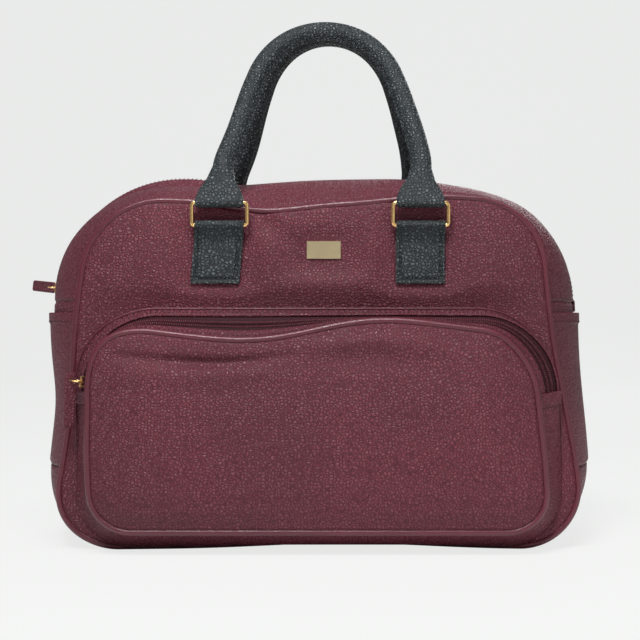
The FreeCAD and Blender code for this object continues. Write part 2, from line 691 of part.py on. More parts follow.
def add_handle(name, y, lean):
    """A rolled handle: a round hollow grip whose ends flare into flat loops round the rings."""
    sections = []
    for i, (height, width, thickness) in enumerate(FLARE):
        section = doc.addObject("Sketcher::SketchObject", f"{name}_flare_{i}")
        bind(section, "Placement.Base.z", height)
        sections.append(draw_oval(section, "ring_spread", width, thickness))
    flare = loft(name + "_flare", sections)
    loop = bar_along_x(name + "_loop", "loop_radius", "ring_spread", "strap_width")
    right_end = combine("Fuse", name + "_right_end", flare, loop)
    left_end = doc.addObject("Part::Mirroring", name + "_left_end")
    left_end.Source = right_end
    left_end.Normal = Vector(1, 0, 0)
    grip = rolled_body(name + "_grip", "handle_radius", "grip_oval")
    wrap = combine("Fuse", name + "_wrap", combine("Fuse", name + "_half_wrap", grip, right_end), left_end)
    bore = bar_along_x(name + "_bore", "(ring_wire + gap)", "0", "(2 * ring_spread + 2 * strap_width)")
    bored = combine("Cut", name + "_bored", wrap, bore)
    handle = combine("Cut", name, bored, rolled_body(name + "_hollow", "(core_radius + gap)"), keep=True)
    set_handle_place(handle, y, lean)


def add_handle_core(name, y, lean):
    core = rolled_body(name, "core_radius")
    core.Label = name
    nodes.append(core)
    set_handle_place(core, y, lean)


def add_carrying():
    for name, side, turned in (("front", "-", False), ("back", "", True)):
        for hand, x in (("left", "-ring_spread"), ("right", "ring_spread")):
            add_tab(f"{name}_{hand}_tab", x, turned)
            add_ring(f"{name}_{hand}_ring", x, side + RING_Y)
        lean = ("1 * " if turned else "-1 * ") + HANDLE_LEAN
        add_handle(name + "_handle", side + RING_Y, lean)
        add_handle_core(name + "_handle_core", side + RING_Y, lean)


# Sliders and pulls. A slider's own frame: X out of the wall, Z along the zip, upwards.

def slider_frame(line, angle):
    """Where a slider sits on the left-hand corner of its zip."""
    turn = math.radians(number(angle))
    slope = math.radians(number(line.slope))
    outward = Vector(-math.cos(turn), 0, math.sin(turn))
    travel = Vector(math.sin(turn), 0, math.cos(turn))
    centre = Vector(-number(line.x), number(line.y), number(line.z))
    normal = outward * math.cos(slope) + Vector(0, -1, 0) * math.sin(slope)
    return Placement(centre + outward * number(line.radius),
                     Rotation(normal, travel.cross(normal), travel, "ZXY"))


def add_slider(name, frame, width, length):
    """Two plates joined by a web that parts the teeth, side flanges, and a lug for the pull ring."""
    body = new_body(name)
    plate_top = "(gap + slider_plate)"
    under = "(0 - coil_depth - coil_height - tape_thickness - gap - slider_sag)"
    half = f"({width} / 2)"
    flange_in = "(zip_slit + coil_width + gap)"
    flange_out = f"({flange_in} + slider_flange)"
    flange_low = "(0 - coil_height)"
    section = body_sketch(body, name + "_section", "XY_Plane")
    right = [(plate_top, half), ("gap", half), ("gap", flange_out), (flange_low, flange_out),
             (flange_low, flange_in), ("gap", flange_in), ("gap", "slider_web"), (under, "slider_web"),
             (under, half), (f"{under} - slider_plate", half)]
    left = [(x, f"(0 - {y})") for x, y in reversed(right)]
    draw_polygon(section, right + left)
    extrude(body, "Pad", section, length, symmetric=True)

    # The plates taper towards the closed end of the zip.
    taper = body_sketch(body, name + "_taper", "YZ_Plane")
    for side in ("1", "-1"):
        draw_polygon(taper, [(f"{side} * {half}", f"(0 - {length} / 2)"),
                             (f"{side} * {half}", f"{length} / 4"),
                             (f"{side} * {half} * 2", f"{length} / 4"),
                             (f"{side} * {half} * 2", f"(0 - {length} / 2 - gap)"),
                             (f"{side} * {flange_out}", f"(0 - {length} / 2 - gap)")])
    extrude(body, "Pocket", taper, "8 * slider_width", symmetric=True)

    # The pull ring swings on the lug's round bar.
    lug = body_sketch(body, name + "_lug", "XZ_Plane")
    foot = f"({plate_top} - slider_plate / 2)"
    bar = f"({plate_top} + bail_level)"
    inner = "(bail_span / 2)"
    outer = "(bail_span / 2 + bail_leg)"
    draw_box(lug, foot, bar, inner, outer)
    draw_box(lug, foot, bar, "-" + outer, "-" + inner)
    extrude(body, "Pad", lug, "bail_width", symmetric=True)
    round_bar = body_sketch(body, name + "_bar", "XY_Plane")
    draw_circle(round_bar, bar, "0", "bail_bar")
    extrude(body, "Pad", round_bar, f"2 * {outer}", symmetric=True)
    body.Placement = frame


def pull_ring_frame(frame, yaw):
    """The pull ring's own frame: Z along the lug's bar, on which it swings, X towards its middle."""
    bar = Vector(number("gap + slider_plate + bail_level"), 0, 0)
    return frame * Placement(bar, Rotation(Vector(0, 0, 1), yaw))


def add_pull_ring(name, frame):
    ring = doc.addObject("Part::Torus", name)
    ring.Label = name
    bind(ring, "Radius1", "pull_ring_radius")
    bind(ring, "Radius2", "pull_ring_wire")
    ring.Placement = frame * Placement(Vector(number(PULL_RING_SWING), 0, 0), Rotation())
    nodes.append(ring)


def add_pull_tab(name, ring_frame, hanging):
    """A stitched leather pull: its hole lies on the ring's far side; it hangs down or points outwards."""
    body = new_body(name)
    start = "(0 - pull_hole_inset)"
    end = "(pull_length - pull_hole_inset)"
    corner = "(pull_width / 4)"
    low = f"(0 - pull_width / 2 + {corner})"
    high = f"(pull_width / 2 - {corner})"
    outline = body_sketch(body, name + "_outline", "XZ_Plane")
    draw_chain(outline, [(f"{end} - {corner}", low, corner), (f"{end} - {corner}", high, corner),
                         (f"{start} + {corner}", high, corner), (f"{start} + {corner}", low, corner)])
    draw_circle(outline, "0", "0", "pull_hole")
    extrude(body, "Pad", outline, "pull_thickness", symmetric=True)
    far_side = Vector(number(f"{PULL_RING_SWING} + pull_ring_radius"), 0, 0)
    hole_place = ring_frame * Placement(far_side, Rotation())
    if hanging:
        thickness = ring_frame.Rotation.multVec(Vector(0, 1, 0))
        width = Vector(0, 0, -1).cross(thickness)
        down = thickness.cross(width)
        hole_place = Placement(hole_place.Base, Rotation(down, thickness, width, "ZXY"))
    body.Placement = hole_place


def add_sliders():
    frames = (
        ("main", slider_frame(MAIN_ZIP, "slider_angle"), "slider_width", "slider_length",
         -number("main_pull_yaw"), False),
        ("pocket", slider_frame(POCKET_ZIP, "pocket_slider_angle"), "pocket_slider_width",
         "pocket_slider_length", 0.0, True),
    )
    for name, frame, width, length, yaw, hanging in frames:
        add_slider(name + "_slider", frame, width, length)
        ring_frame = pull_ring_frame(frame, yaw)
        add_pull_ring(name + "_pull_ring", ring_frame)
        add_pull_tab(name + "_pull_tab", ring_frame, hanging)


add_panels()
add_name_plate()
add_gusset()
add_lining()
add_slip_pockets()
add_end_tabs()
add_front_pocket()
add_zips()
add_carrying()
add_sliders()
doc.recompute()

failed = [item.Name for item in doc.Objects if {"Invalid", "Error"} & set(item.State)]
if failed:
    raise RuntimeError("these objects did not compute: " + ", ".join(failed))
for node in nodes:
    if node.Shape.isNull() or not node.Shape.isValid() or not node.Shape.Solids:
        raise RuntimeError(f"{node.Label} has no valid solid")

os.makedirs("parts", exist_ok=True)
for node in nodes:
    node.Shape.exportStep(f"parts/{node.Label}.step")
print(len(nodes), "sub-parts written")
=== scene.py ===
import json
import math

import bpy
import numpy as np
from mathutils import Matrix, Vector


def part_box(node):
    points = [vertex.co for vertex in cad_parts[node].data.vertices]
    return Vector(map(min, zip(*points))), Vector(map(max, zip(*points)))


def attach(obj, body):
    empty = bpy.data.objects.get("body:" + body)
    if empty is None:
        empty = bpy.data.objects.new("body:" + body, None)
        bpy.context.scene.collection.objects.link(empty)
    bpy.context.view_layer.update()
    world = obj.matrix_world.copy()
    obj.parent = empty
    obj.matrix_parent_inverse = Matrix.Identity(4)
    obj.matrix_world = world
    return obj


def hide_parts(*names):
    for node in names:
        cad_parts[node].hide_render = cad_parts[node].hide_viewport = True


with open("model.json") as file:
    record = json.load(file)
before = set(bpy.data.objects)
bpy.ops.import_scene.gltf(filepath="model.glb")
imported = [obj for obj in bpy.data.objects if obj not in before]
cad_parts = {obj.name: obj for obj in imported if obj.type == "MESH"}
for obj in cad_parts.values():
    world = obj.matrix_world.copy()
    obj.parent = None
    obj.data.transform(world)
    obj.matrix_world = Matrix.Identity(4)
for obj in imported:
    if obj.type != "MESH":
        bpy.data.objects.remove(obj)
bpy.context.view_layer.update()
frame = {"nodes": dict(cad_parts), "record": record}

bl_info = {
    "name": "Doctor bag",
    "version": (1, 0, 0),
    "blender": (4, 5, 0),
    "location": "3D View > Sidebar > Doctor bag",
    "description": "Dresses a doctor bag's frame in leather, piping, zips, stitches and metal",
    "category": "Add Mesh",
}

MM = 0.001
BAG = "bag"
FINISH = "_finish"
HEART = Vector((0, 0, 0.15))
SIDES = (("front", -1), ("back", 1))
HANDS = (("left", -1), ("right", 1))


# Sizes and colours that a user would change

def length(name, description, default):
    return bpy.props.FloatProperty(name=name, description=description, default=default, min=0,
                                   subtype="DISTANCE", unit="LENGTH", precision=4)


def colour(name, description, default):
    return bpy.props.FloatVectorProperty(name=name, description=description, default=default,
                                         subtype="COLOR", size=3, min=0, max=1)


class BagSizes(bpy.types.PropertyGroup):
    base_corner: length("Lower corner", "Lower corner radius of the panels", 0.050)
    top_corner: length("Upper corner", "Upper corner radius of the panels", 0.064)
    top_spread: length("Upper spread", "Upper corner centres of the panels from the middle", 0.125)
    crown_base_corner: length("Crown lower corner", "Lower corner of the gusset at its middle", 0.067)
    crown_top_corner: length("Crown upper corner", "Upper corner of the gusset at its middle", 0.105)
    crown_top_spread: length("Crown upper spread", "Upper corner centres of the gusset's middle", 0.117)
    pocket_base_corner: length("Pocket lower corner", "Lower corner radius of the pocket", 0.034)
    pocket_top_corner: length("Pocket upper corner", "Upper corner radius of the pocket", 0.052)
    pocket_top_spread: length("Pocket upper spread", "Upper corner centres of the pocket", 0.128)
    leather: length("Leather", "Thickness of the bag's leather", 0.0016)
    grain: length("Grain", "Width of one pebble of the bag's leather", 0.0025)
    handle_grain: length("Handle grain", "Width of one pebble of the handles' leather", 0.0027)
    panel_puff: length("Panel puff", "How far the padded panels swell", 0.006)
    pocket_puff: length("Pocket puff", "How far the pocket's face swells", 0.009)
    stitch: length("Stitch", "Pitch of the stitching", 0.0036)
    thread: length("Thread", "Thickness of the thread", 0.0007)
    tooth: length("Tooth", "Pitch of the zip teeth", 0.0017)
    camera_distance: length("Camera distance", "Camera in front of the middle of the bag", 1.0)
    eye_level: length("Eye level", "Height of the camera", 0.184)


class BagColours(bpy.types.PropertyGroup):
    burgundy: colour("Burgundy", "The bag's leather", (0.098, 0.0135, 0.0255))
    # painted shade: the colour put in the creases between the pebbles
    burgundy_crease_shade: colour("Deep burgundy", "The leather between its pebbles", (0.040, 0.004, 0.009))
    # painted highlights: these two lighter colours stand in for the glints on the pebbles' tops
    burgundy_highlight_tops: colour("Burgundy tops", "The worn tops of its pebbles", (0.215, 0.080, 0.100))
    black_highlight_tops: colour("Black tops", "The worn tops of the black pebbles", (0.13, 0.155, 0.165))
    piping: colour("Piping", "The piping's smoother leather", (0.085, 0.012, 0.022))
    black: colour("Black", "Handles and tabs", (0.014, 0.019, 0.021))
    thread: colour("Thread", "Burgundy thread", (0.030, 0.004, 0.008))
    black_thread: colour("Black thread", "Thread of the handles and tabs", (0.004, 0.005, 0.006))
    gold: colour("Gold", "Rings and sliders", (0.80, 0.52, 0.22))
    pale_gold: colour("Pale gold", "Name plate", (0.86, 0.70, 0.42))
    backdrop: colour("Backdrop", "Floor and backdrop", (0.86, 0.87, 0.86))


# The bag's outlines, in millimetres

def corner_box(node):
    low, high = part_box(node)
    return np.array(low) / MM, np.array(high) / MM


class Outline:
    """A rounded outline in an upright plane: corner centres and radii of its right-hand side."""

    def __init__(self, *numbers):
        self.numbers = np.array(numbers, float)

    def grown(self, by):
        return Outline(*(self.numbers + np.array((0, 0, by, 0, 0, by))))

    def towards(self, other, share):
        return Outline(*(self.numbers + (other.numbers - self.numbers) * share))


class Rail:
    """An outline's right half as a measured line, from the middle of the base to the middle of the top.

    Distances below nothing run up the left half, and those past the length run down it from the top.
    """

    def __init__(self, outline):
        base_x, base_z, base_r, top_x, top_z, top_r = outline.numbers
        slack = (base_r - top_r) / math.hypot(top_x - base_x, top_z - base_z)
        turn = math.atan2(top_z - base_z, top_x - base_x) - math.acos(slack)
        low, high = np.linspace(-math.pi / 2, turn, 60), np.linspace(turn, math.pi / 2, 60)
        self.x = np.concatenate([[0], base_x + base_r * np.cos(low), top_x + top_r * np.cos(high), [0]])
        self.z = np.concatenate([[base_z - base_r], base_z + base_r * np.sin(low),
                                 top_z + top_r * np.sin(high), [top_z + top_r]])
        self.s = np.concatenate([[0], np.cumsum(np.hypot(np.diff(self.x), np.diff(self.z)))])
        self.length = self.s[-1]

    def at(self, distance):
        distance = np.asarray(distance, float)
        run = np.abs(distance)
        over = run > self.length
        hand = np.where(distance < 0, -1.0, 1.0) * np.where(over, -1.0, 1.0)
        run = np.where(over, 2 * self.length - run, run)
        return hand * np.interp(run, self.s, self.x), np.interp(run, self.s, self.z)

    def level(self, z):
        """Distance along the rail at which it passes height z."""
        return float(np.interp(z, self.z, self.s))

    def outward(self, distance, lean=0.0):
        """Directions away from the outline at distances along it. lean turns them to the front."""
        step = 0.01
        x, z = self.at(distance)
        ahead_x, ahead_z = self.at(distance + step)
        return unit(np.stack([ahead_z - z, np.full_like(x, -lean * step), x - ahead_x], -1))

    def loop(self, count):
        """Points all the way round."""
        return self.at(np.linspace(0, 2 * self.length, count, endpoint=False))


def from_level(z, hand=1, inset=0.0):
    """Where a rail passes height z, to the right (1) or to the left (-1)."""
    return lambda rail: hand * (rail.level(z) + inset)


def over_to(z, inset=0.0):
    """Where a rail passes height z again, beyond its top."""
    return lambda rail: 2 * rail.length - rail.level(z) - inset


def ribbon(outline_at, y_sign, start, end, columns, depths, lift):
    """A grid along the outlines at some depths. start and end give distances along each one's rail."""
    rows = []
    for depth in depths:
        rail = Rail(outline_at(depth))
        s = np.linspace(start(rail), end(rail), columns)
        x, z = rail.at(s)
        rise = np.broadcast_to(lift(depth, rail, s), s.shape)[:, None]
        rows.append(np.stack([x, np.full_like(x, y_sign * depth), z], -1) + rail.outward(s) * rise)
    return np.array(rows)


def outline_in(node, base_corner, top_spread, top_corner):
    """The outline of a node that runs all round, such as its piping."""
    low, high = corner_box(node)
    return Outline(high[0] - base_corner, low[2] + base_corner, base_corner,
                   top_spread, high[2] - top_corner, top_corner)


def smooth(value, start, end):
    share = np.clip((value - start) / (end - start), 0, 1)
    return share * share * (3 - 2 * share)


def mound(value, centre, reach):
    return np.exp(-((value - centre) / reach) ** 2)


# How the soft bag settles: where it is pulled, how far that reaches, and which way, in millimetres.
PULLS = (
    # the top edge of the front dips beside the left handle and stands higher to the right
    ((-44, -78, 290), (42, 50, 46), (0, 0, -9)),
    ((20, -78, 290), (50, 50, 46), (0, 0, -4)),
    ((105, -78, 290), (50, 60, 40), (0, 0, 3)),
    # the whole front leans to the left at half its height
    ((-205, -60, 205), (70, 200, 70), (-5, 0, 0)),
    ((205, -60, 205), (70, 200, 70), (-6, 0, 0)),
    ((205, -60, 140), (60, 200, 50), (-3, 0, 0)),
    # both shoulders slope more than the frame's, the right one further out
    ((-175, 0, 285), (50, 60, 60), (0, 0, -3)),
    ((-105, 0, 305), (62, 60, 40), (0, 0, -7)),
    ((140, 0, 300), (48, 60, 44), (-5, 0, -11)),
    ((195, 0, 262), (40, 60, 40), (-5, 0, -3)),
    # the waist of the left side, and the lower edge of the front
    ((-225, 0, 118), (40, 100, 30), (3, 0, 0)),
    ((-215, -30, 22), (40, 100, 40), (-4, 0, -2)),
    ((20, -75, 0), (90, 50, 50), (0, 0, 5)),
)
POCKET_PULLS = (
    ((-56, -98, 178), (60, 60, 60), (0, 0, -7.5)),
    ((48, -98, 178), (62, 60, 60), (0, 0, 8.5)),
    ((-165, -98, 165), (30, 60, 32), (-6, 0, 5)),
    ((168, -98, 150), (42, 60, 46), (-8, 0, -3)),
    ((-180, -98, 85), (60, 60, 60), (-4, 0, 0)),
    ((180, -98, 100), (60, 60, 50), (-3, 0, 0)),
)


# The pocket's wall keeps its place here, where its slider and pull tab rest.
POCKET_SLIDER = (-190, -84, 110)


def pulled(points, pulls):
    moved = np.zeros_like(points)
    for centre, reach, move in pulls:
        near = np.exp(-(((points - np.array(centre, float)) / np.array(reach, float)) ** 2).sum(-1))
        moved += near[..., None] * np.array(move, float)
    return moved


def settled(points):
    """Points of the bag's soft pieces, moved as the bag sags. The zips' left-hand corners stay put."""
    points = np.asarray(points, float)
    moved = pulled(points, PULLS)
    zip_corner = smooth(17 - np.abs(points[..., 1]), 0, 9) * smooth(-points[..., 0], 60, 110)
    zip_corner = zip_corner * smooth(points[..., 2], 150, 190)
    pocket = smooth(-points[..., 1], 71.5, 76)
    lip = smooth(-points[..., 1], 73, 93)
    below = smooth(-points[..., 2], 0, 3)
    moved *= ((1 - zip_corner) * (1 - pocket) * (1 - below))[..., None]
    from_slider = (points - np.array(POCKET_SLIDER)) / np.array((30.0, 60.0, 46.0))
    lip *= 1 - np.exp(-(from_slider ** 2).sum(-1)) * smooth(94 - np.abs(points[..., 1]), 0, 4)
    moved += pulled(points, POCKET_PULLS) * lip[..., None]
    return points + moved


# Meshes

def new_mesh(name, points, faces, outward_from=None):
    """A smooth mesh object from points in millimetres. Its faces turn away from outward_from."""
    mesh = bpy.data.meshes.new(name)
    points = np.asarray(points, float).reshape(-1, 3) * MM
    mesh.from_pydata(points.tolist(), [], [tuple(int(i) for i in face) for face in faces])
    mesh.validate()
    if outward_from is not None:
        normals = np.zeros(len(mesh.polygons) * 3)
        centres = np.zeros(len(mesh.polygons) * 3)
        mesh.polygons.foreach_get("normal", normals)
        mesh.polygons.foreach_get("center", centres)
        away = (centres.reshape(-1, 3) - np.array(outward_from)) * normals.reshape(-1, 3)
        if away.sum() < 0:
            mesh.flip_normals()
    mesh.shade_smooth()
    piece = bpy.data.objects.new(name, mesh)
    bpy.context.scene.collection.objects.link(piece)
    return piece


def grid_faces(rows, columns, wrap_rows=False, wrap_columns=False):
    i, j = np.meshgrid(np.arange(rows if wrap_rows else rows - 1),
                       np.arange(columns if wrap_columns else columns - 1), indexing="ij")
    i2, j2 = (i + 1) % rows, (j + 1) % columns
    corners = (i * columns + j, i * columns + j2, i2 * columns + j2, i2 * columns + j)
    return np.stack(corners, -1).reshape(-1, 4)


def sheet_of(name, points, outward_from=HEART):
    """A grid of points as one sheet of leather or cloth."""
    return new_mesh(name, points, grid_faces(*points.shape[:2]), outward_from)


def thicken(piece, thickness, levels=0):
    """Gives a sheet its thickness, inwards, and finer faces."""
    wall = piece.modifiers.new("Thickness", "SOLIDIFY")
    wall.thickness = thickness * MM
    wall.offset = -1
    if levels:
        finer = piece.modifiers.new("Finer", "SUBSURF")
        finer.levels = finer.render_levels = levels
    return piece


def unit(vectors):
    return vectors / np.maximum(np.linalg.norm(vectors, axis=-1, keepdims=True), 1e-9)


def swept(path, up, section, closed):
    """A section, as sideways and upward steps, carried along a path. up is given once or for each point."""
    path = np.asarray(path, float)
    up = np.broadcast_to(np.asarray(up, float), path.shape)
    if closed:
        along = np.roll(path, -1, 0) - np.roll(path, 1, 0)
    else:
        along = np.gradient(path, axis=0)
    along = unit(along)
    side = unit(np.cross(along, up))
    up = np.cross(side, along)
    section = np.asarray(section, float)
    if section.ndim == 2:
        section = np.broadcast_to(section, (len(path),) + section.shape)
    points = path[:, None] + section[..., :1] * side[:, None] + section[..., 1:] * up[:, None]
    rows, columns = points.shape[:2]
    faces = [tuple(face) for face in grid_faces(rows, columns, closed, True)]
    if not closed:
        faces.append(tuple(range(columns - 1, -1, -1)))
        faces.append(tuple(range((rows - 1) * columns, rows * columns)))
    return points, faces


def turn_outward(piece):
    """Makes a closed shell's faces point outwards."""
    mesh = piece.data
    points = np.array([v.co for v in mesh.vertices])
    volume = 0.0
    for face in mesh.polygons:
        corners = points[list(face.vertices)]
        for k in range(1, len(corners) - 1):
            volume += np.dot(corners[0], np.cross(corners[k], corners[k + 1]))
    if volume < 0:
        mesh.flip_normals()
    return piece


def tube(name, path, up, section, closed=False):
    points, faces = swept(path, up, section, closed)
    return turn_outward(new_mesh(name, settled(points) if closed else points, faces))


def circle(radius, count=16):
    turns = np.linspace(0, 2 * math.pi, count, endpoint=False)
    return np.stack([radius * np.cos(turns), radius * np.sin(turns)], -1)


def dress(piece, finish, body=BAG, replaces=()):
    """Gives a piece its material and body, and lets it stand for CAD nodes."""
    piece.data.materials.clear()
    piece.data.materials.append(bpy.data.materials[finish + FINISH])
    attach(piece, body)
    if replaces:
        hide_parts(*replaces)
    return piece


# Rows of stitches and zip teeth

def row_tree():
    """Geometry nodes that set one small rounded element after another along lines."""
    name = "Row of stitches or teeth"
    if name in bpy.data.node_groups:
        return bpy.data.node_groups[name]
    tree = bpy.data.node_groups.new(name, "GeometryNodeTree")
    face = tree.interface
    face.new_socket("Geometry", in_out="INPUT", socket_type="NodeSocketGeometry")
    for label, value in (("Pitch", 0.003), ("Length", 0.002), ("Width", 0.0006), ("Height", 0.0005),
                         ("Loose turn", 0.05)):
        socket = face.new_socket(label, in_out="INPUT", socket_type="NodeSocketFloat")
        socket.default_value = value
    face.new_socket("Material", in_out="INPUT", socket_type="NodeSocketMaterial")
    face.new_socket("Geometry", in_out="OUTPUT", socket_type="NodeSocketGeometry")

    def add(kind, **settings):
        node = tree.nodes.new(kind)
        for key, value in settings.items():
            setattr(node, key, value)
        return node

    def link(out, into):
        tree.links.new(out, into)

    given, result = add("NodeGroupInput"), add("NodeGroupOutput")
    curve = add("GeometryNodeMeshToCurve")
    spaced = add("GeometryNodeResampleCurve", mode="LENGTH")
    link(given.outputs["Geometry"], curve.inputs["Mesh"])
    link(curve.outputs[0], spaced.inputs["Curve"])
    link(given.outputs["Pitch"], spaced.inputs["Length"])
    bead = add("GeometryNodeMeshUVSphere")
    bead.inputs["Segments"].default_value = 8
    bead.inputs["Rings"].default_value = 5
    bead.inputs["Radius"].default_value = 0.5
    size = add("ShaderNodeCombineXYZ")
    for axis, label in zip("XYZ", ("Length", "Width", "Height")):
        link(given.outputs[label], size.inputs[axis])
    shaped = add("GeometryNodeTransform")
    link(bead.outputs["Mesh"], shaped.inputs["Geometry"])
    link(size.outputs[0], shaped.inputs["Scale"])
    facing = add("GeometryNodeInputNamedAttribute", data_type="FLOAT_VECTOR")
    facing.inputs["Name"].default_value = "facing"
    along = add("GeometryNodeInputTangent")
    first = add("FunctionNodeAlignRotationToVector", axis="Z")
    link(facing.outputs[0], first.inputs["Vector"])
    second = add("FunctionNodeAlignRotationToVector", axis="X", pivot_axis="Z")
    link(first.outputs[0], second.inputs["Rotation"])
    link(along.outputs[0], second.inputs["Vector"])
    loose = add("FunctionNodeRandomValue", data_type="FLOAT")
    loose.inputs["Seed"].default_value = 11
    opposite = add("ShaderNodeMath", operation="MULTIPLY")
    opposite.inputs[1].default_value = -1
    link(given.outputs["Loose turn"], opposite.inputs[0])
    link(opposite.outputs[0], loose.inputs[2])
    link(given.outputs["Loose turn"], loose.inputs[3])
    spin = add("FunctionNodeAxisAngleToRotation")
    spin.inputs["Axis"].default_value = (0, 0, 1)
    link(loose.outputs[1], spin.inputs["Angle"])
    both = add("FunctionNodeRotateRotation", rotation_space="LOCAL")
    link(second.outputs[0], both.inputs["Rotation"])
    link(spin.outputs[0], both.inputs["Rotate By"])
    placed = add("GeometryNodeInstanceOnPoints")
    link(spaced.outputs[0], placed.inputs["Points"])
    link(shaped.outputs[0], placed.inputs["Instance"])
    link(both.outputs[0], placed.inputs["Rotation"])
    real = add("GeometryNodeRealizeInstances")
    link(placed.outputs[0], real.inputs[0])
    soft = add("GeometryNodeSetShadeSmooth")
    link(real.outputs[0], soft.inputs[0])
    painted = add("GeometryNodeSetMaterial")
    link(soft.outputs[0], painted.inputs["Geometry"])
    link(given.outputs["Material"], painted.inputs["Material"])
    link(painted.outputs[0], result.inputs[0])
    return tree


def row_of(name, lines, finish, pitch, size, loose=0.05):
    """A mesh of elements set along lines. Each line is its points and the way each one faces."""
    points, edges, facing = [], [], []
    for path, normals in lines:
        start = len(points)
        points += (np.asarray(path) * MM).tolist()
        facing += np.broadcast_to(np.asarray(normals, float), np.shape(path)).tolist()
        edges += [(start + i, start + i + 1) for i in range(len(path) - 1)]
    carrier = bpy.data.meshes.new(name + "_line")
    carrier.from_pydata(points, edges, [])
    attribute = carrier.attributes.new("facing", "FLOAT_VECTOR", "POINT")
    attribute.data.foreach_set("vector", np.array(facing, float).ravel())
    line = bpy.data.objects.new(name + "_line", carrier)
    bpy.context.scene.collection.objects.link(line)
    maker = line.modifiers.new("Row", "NODES")
    tree = row_tree()
    maker.node_group = tree
    values = {"Pitch": pitch, "Length": size[0], "Width": size[1], "Height": size[2]}
    values = {label: value * MM for label, value in values.items()}
    values.update({"Loose turn": loose, "Material": bpy.data.materials[finish + FINISH]})
    sockets = {item.name: item.identifier for item in tree.interface.items_tree if item.in_out == "INPUT"}
    for label, value in values.items():
        maker[sockets[label]] = value
    bpy.context.view_layer.update()
    graph = bpy.context.evaluated_depsgraph_get()
    mesh = bpy.data.meshes.new_from_object(line.evaluated_get(graph))
    bpy.data.objects.remove(line)
    mesh.name = name
    if not mesh.polygons:
        raise RuntimeError(f"{name}: no stitch or tooth was made")
    piece = bpy.data.objects.new(name, mesh)
    bpy.context.scene.collection.objects.link(piece)
    return piece


# Finishes

class Wire:
    """One output socket of a material, which adds and multiplies like a number."""

    def __init__(self, finish, socket):
        self.finish = finish
        self.socket = socket

    def work(self, operation, *values):
        return self.finish.node("ShaderNodeMath", {"operation": operation}, dict(enumerate(values)))

    def __add__(self, other):
        return self.work("ADD", self, other)

    def __radd__(self, other):
        return self.work("ADD", other, self)

    def __sub__(self, other):
        return self.work("SUBTRACT", self, other)

    def __rsub__(self, other):
        return self.work("SUBTRACT", other, self)

    def __mul__(self, other):
        return self.work("MULTIPLY", self, other)

    def __rmul__(self, other):
        return self.work("MULTIPLY", other, self)

    def ramp(self, low, high, start=0.0, end=1.0):
        """A smooth step between two values of this one."""
        settings = {"interpolation_type": "SMOOTHSTEP"}
        return self.finish.node("ShaderNodeMapRange", settings,
                                {"Value": self, "From Min": low, "From Max": high,
                                 "To Min": start, "To Max": end})


class Finish:
    """A material made of nodes."""

    def __init__(self, name):
        self.material = bpy.data.materials.new(name + FINISH)
        self.material.use_nodes = True
        self.tree = self.material.node_tree
        self.tree.nodes.clear()
        self.place = Wire(self, self.tree.nodes.new("ShaderNodeTexCoord").outputs["Object"])

    def node(self, kind, settings, sockets, output=0):
        made = self.tree.nodes.new(kind)
        for key, value in settings.items():
            setattr(made, key, value)
        for key, value in sockets.items():
            into = made.inputs[key]
            if isinstance(value, Wire):
                self.tree.links.new(value.socket, into)
            else:
                into.default_value = value
        return Wire(self, made.outputs[output])

    def noise(self, scale, detail=2.0, roughness=0.5):
        return self.node("ShaderNodeTexNoise", {}, {"Vector": self.place, "Scale": scale,
                                                    "Detail": detail, "Roughness": roughness})

    def shaken(self, scale, amount):
        """The place, nudged by noise, so that cells are uneven."""
        noise = self.node("ShaderNodeTexNoise", {}, {"Vector": self.place, "Scale": scale, "Detail": 1.0}, 1)
        moved = self.node("ShaderNodeVectorMath", {"operation": "SUBTRACT"}, {0: noise, 1: (0.5, 0.5, 0.5)})
        return self.node("ShaderNodeVectorMath", {"operation": "MULTIPLY_ADD"},
                         {0: moved, 1: (amount, amount, amount), 2: self.place})

    def cells(self, scale, where):
        """How far each place lies from the edge of its cell."""
        return self.node("ShaderNodeTexVoronoi", {"feature": "DISTANCE_TO_EDGE"},
                         {"Vector": where, "Scale": scale, "Randomness": 0.85})

    def blend(self, share, first, second, kind="MIX"):
        return self.node("ShaderNodeMix", {"data_type": "RGBA", "blend_type": kind},
                         {0: share, 6: first, 7: second}, 2)

    def bump(self, height, distance, strength=1.0, under=None):
        sockets = {"Height": height, "Distance": distance, "Strength": strength}
        if under:
            sockets["Normal"] = under
        return self.node("ShaderNodeBump", {}, sockets)

    def close(self, **sockets):
        """The shader itself. Underscores in a socket's name stand for spaces."""
        named = {key.replace("_", " "): value for key, value in sockets.items()}
        shader = self.node("ShaderNodeBsdfPrincipled", {}, named)
        output = self.tree.nodes.new("ShaderNodeOutputMaterial")
        self.tree.links.new(shader.socket, output.inputs["Surface"])
        return self.material


def paint(rgb, factor=1.0):
    return tuple(min(1.0, channel * factor) for channel in rgb) + (1.0,)


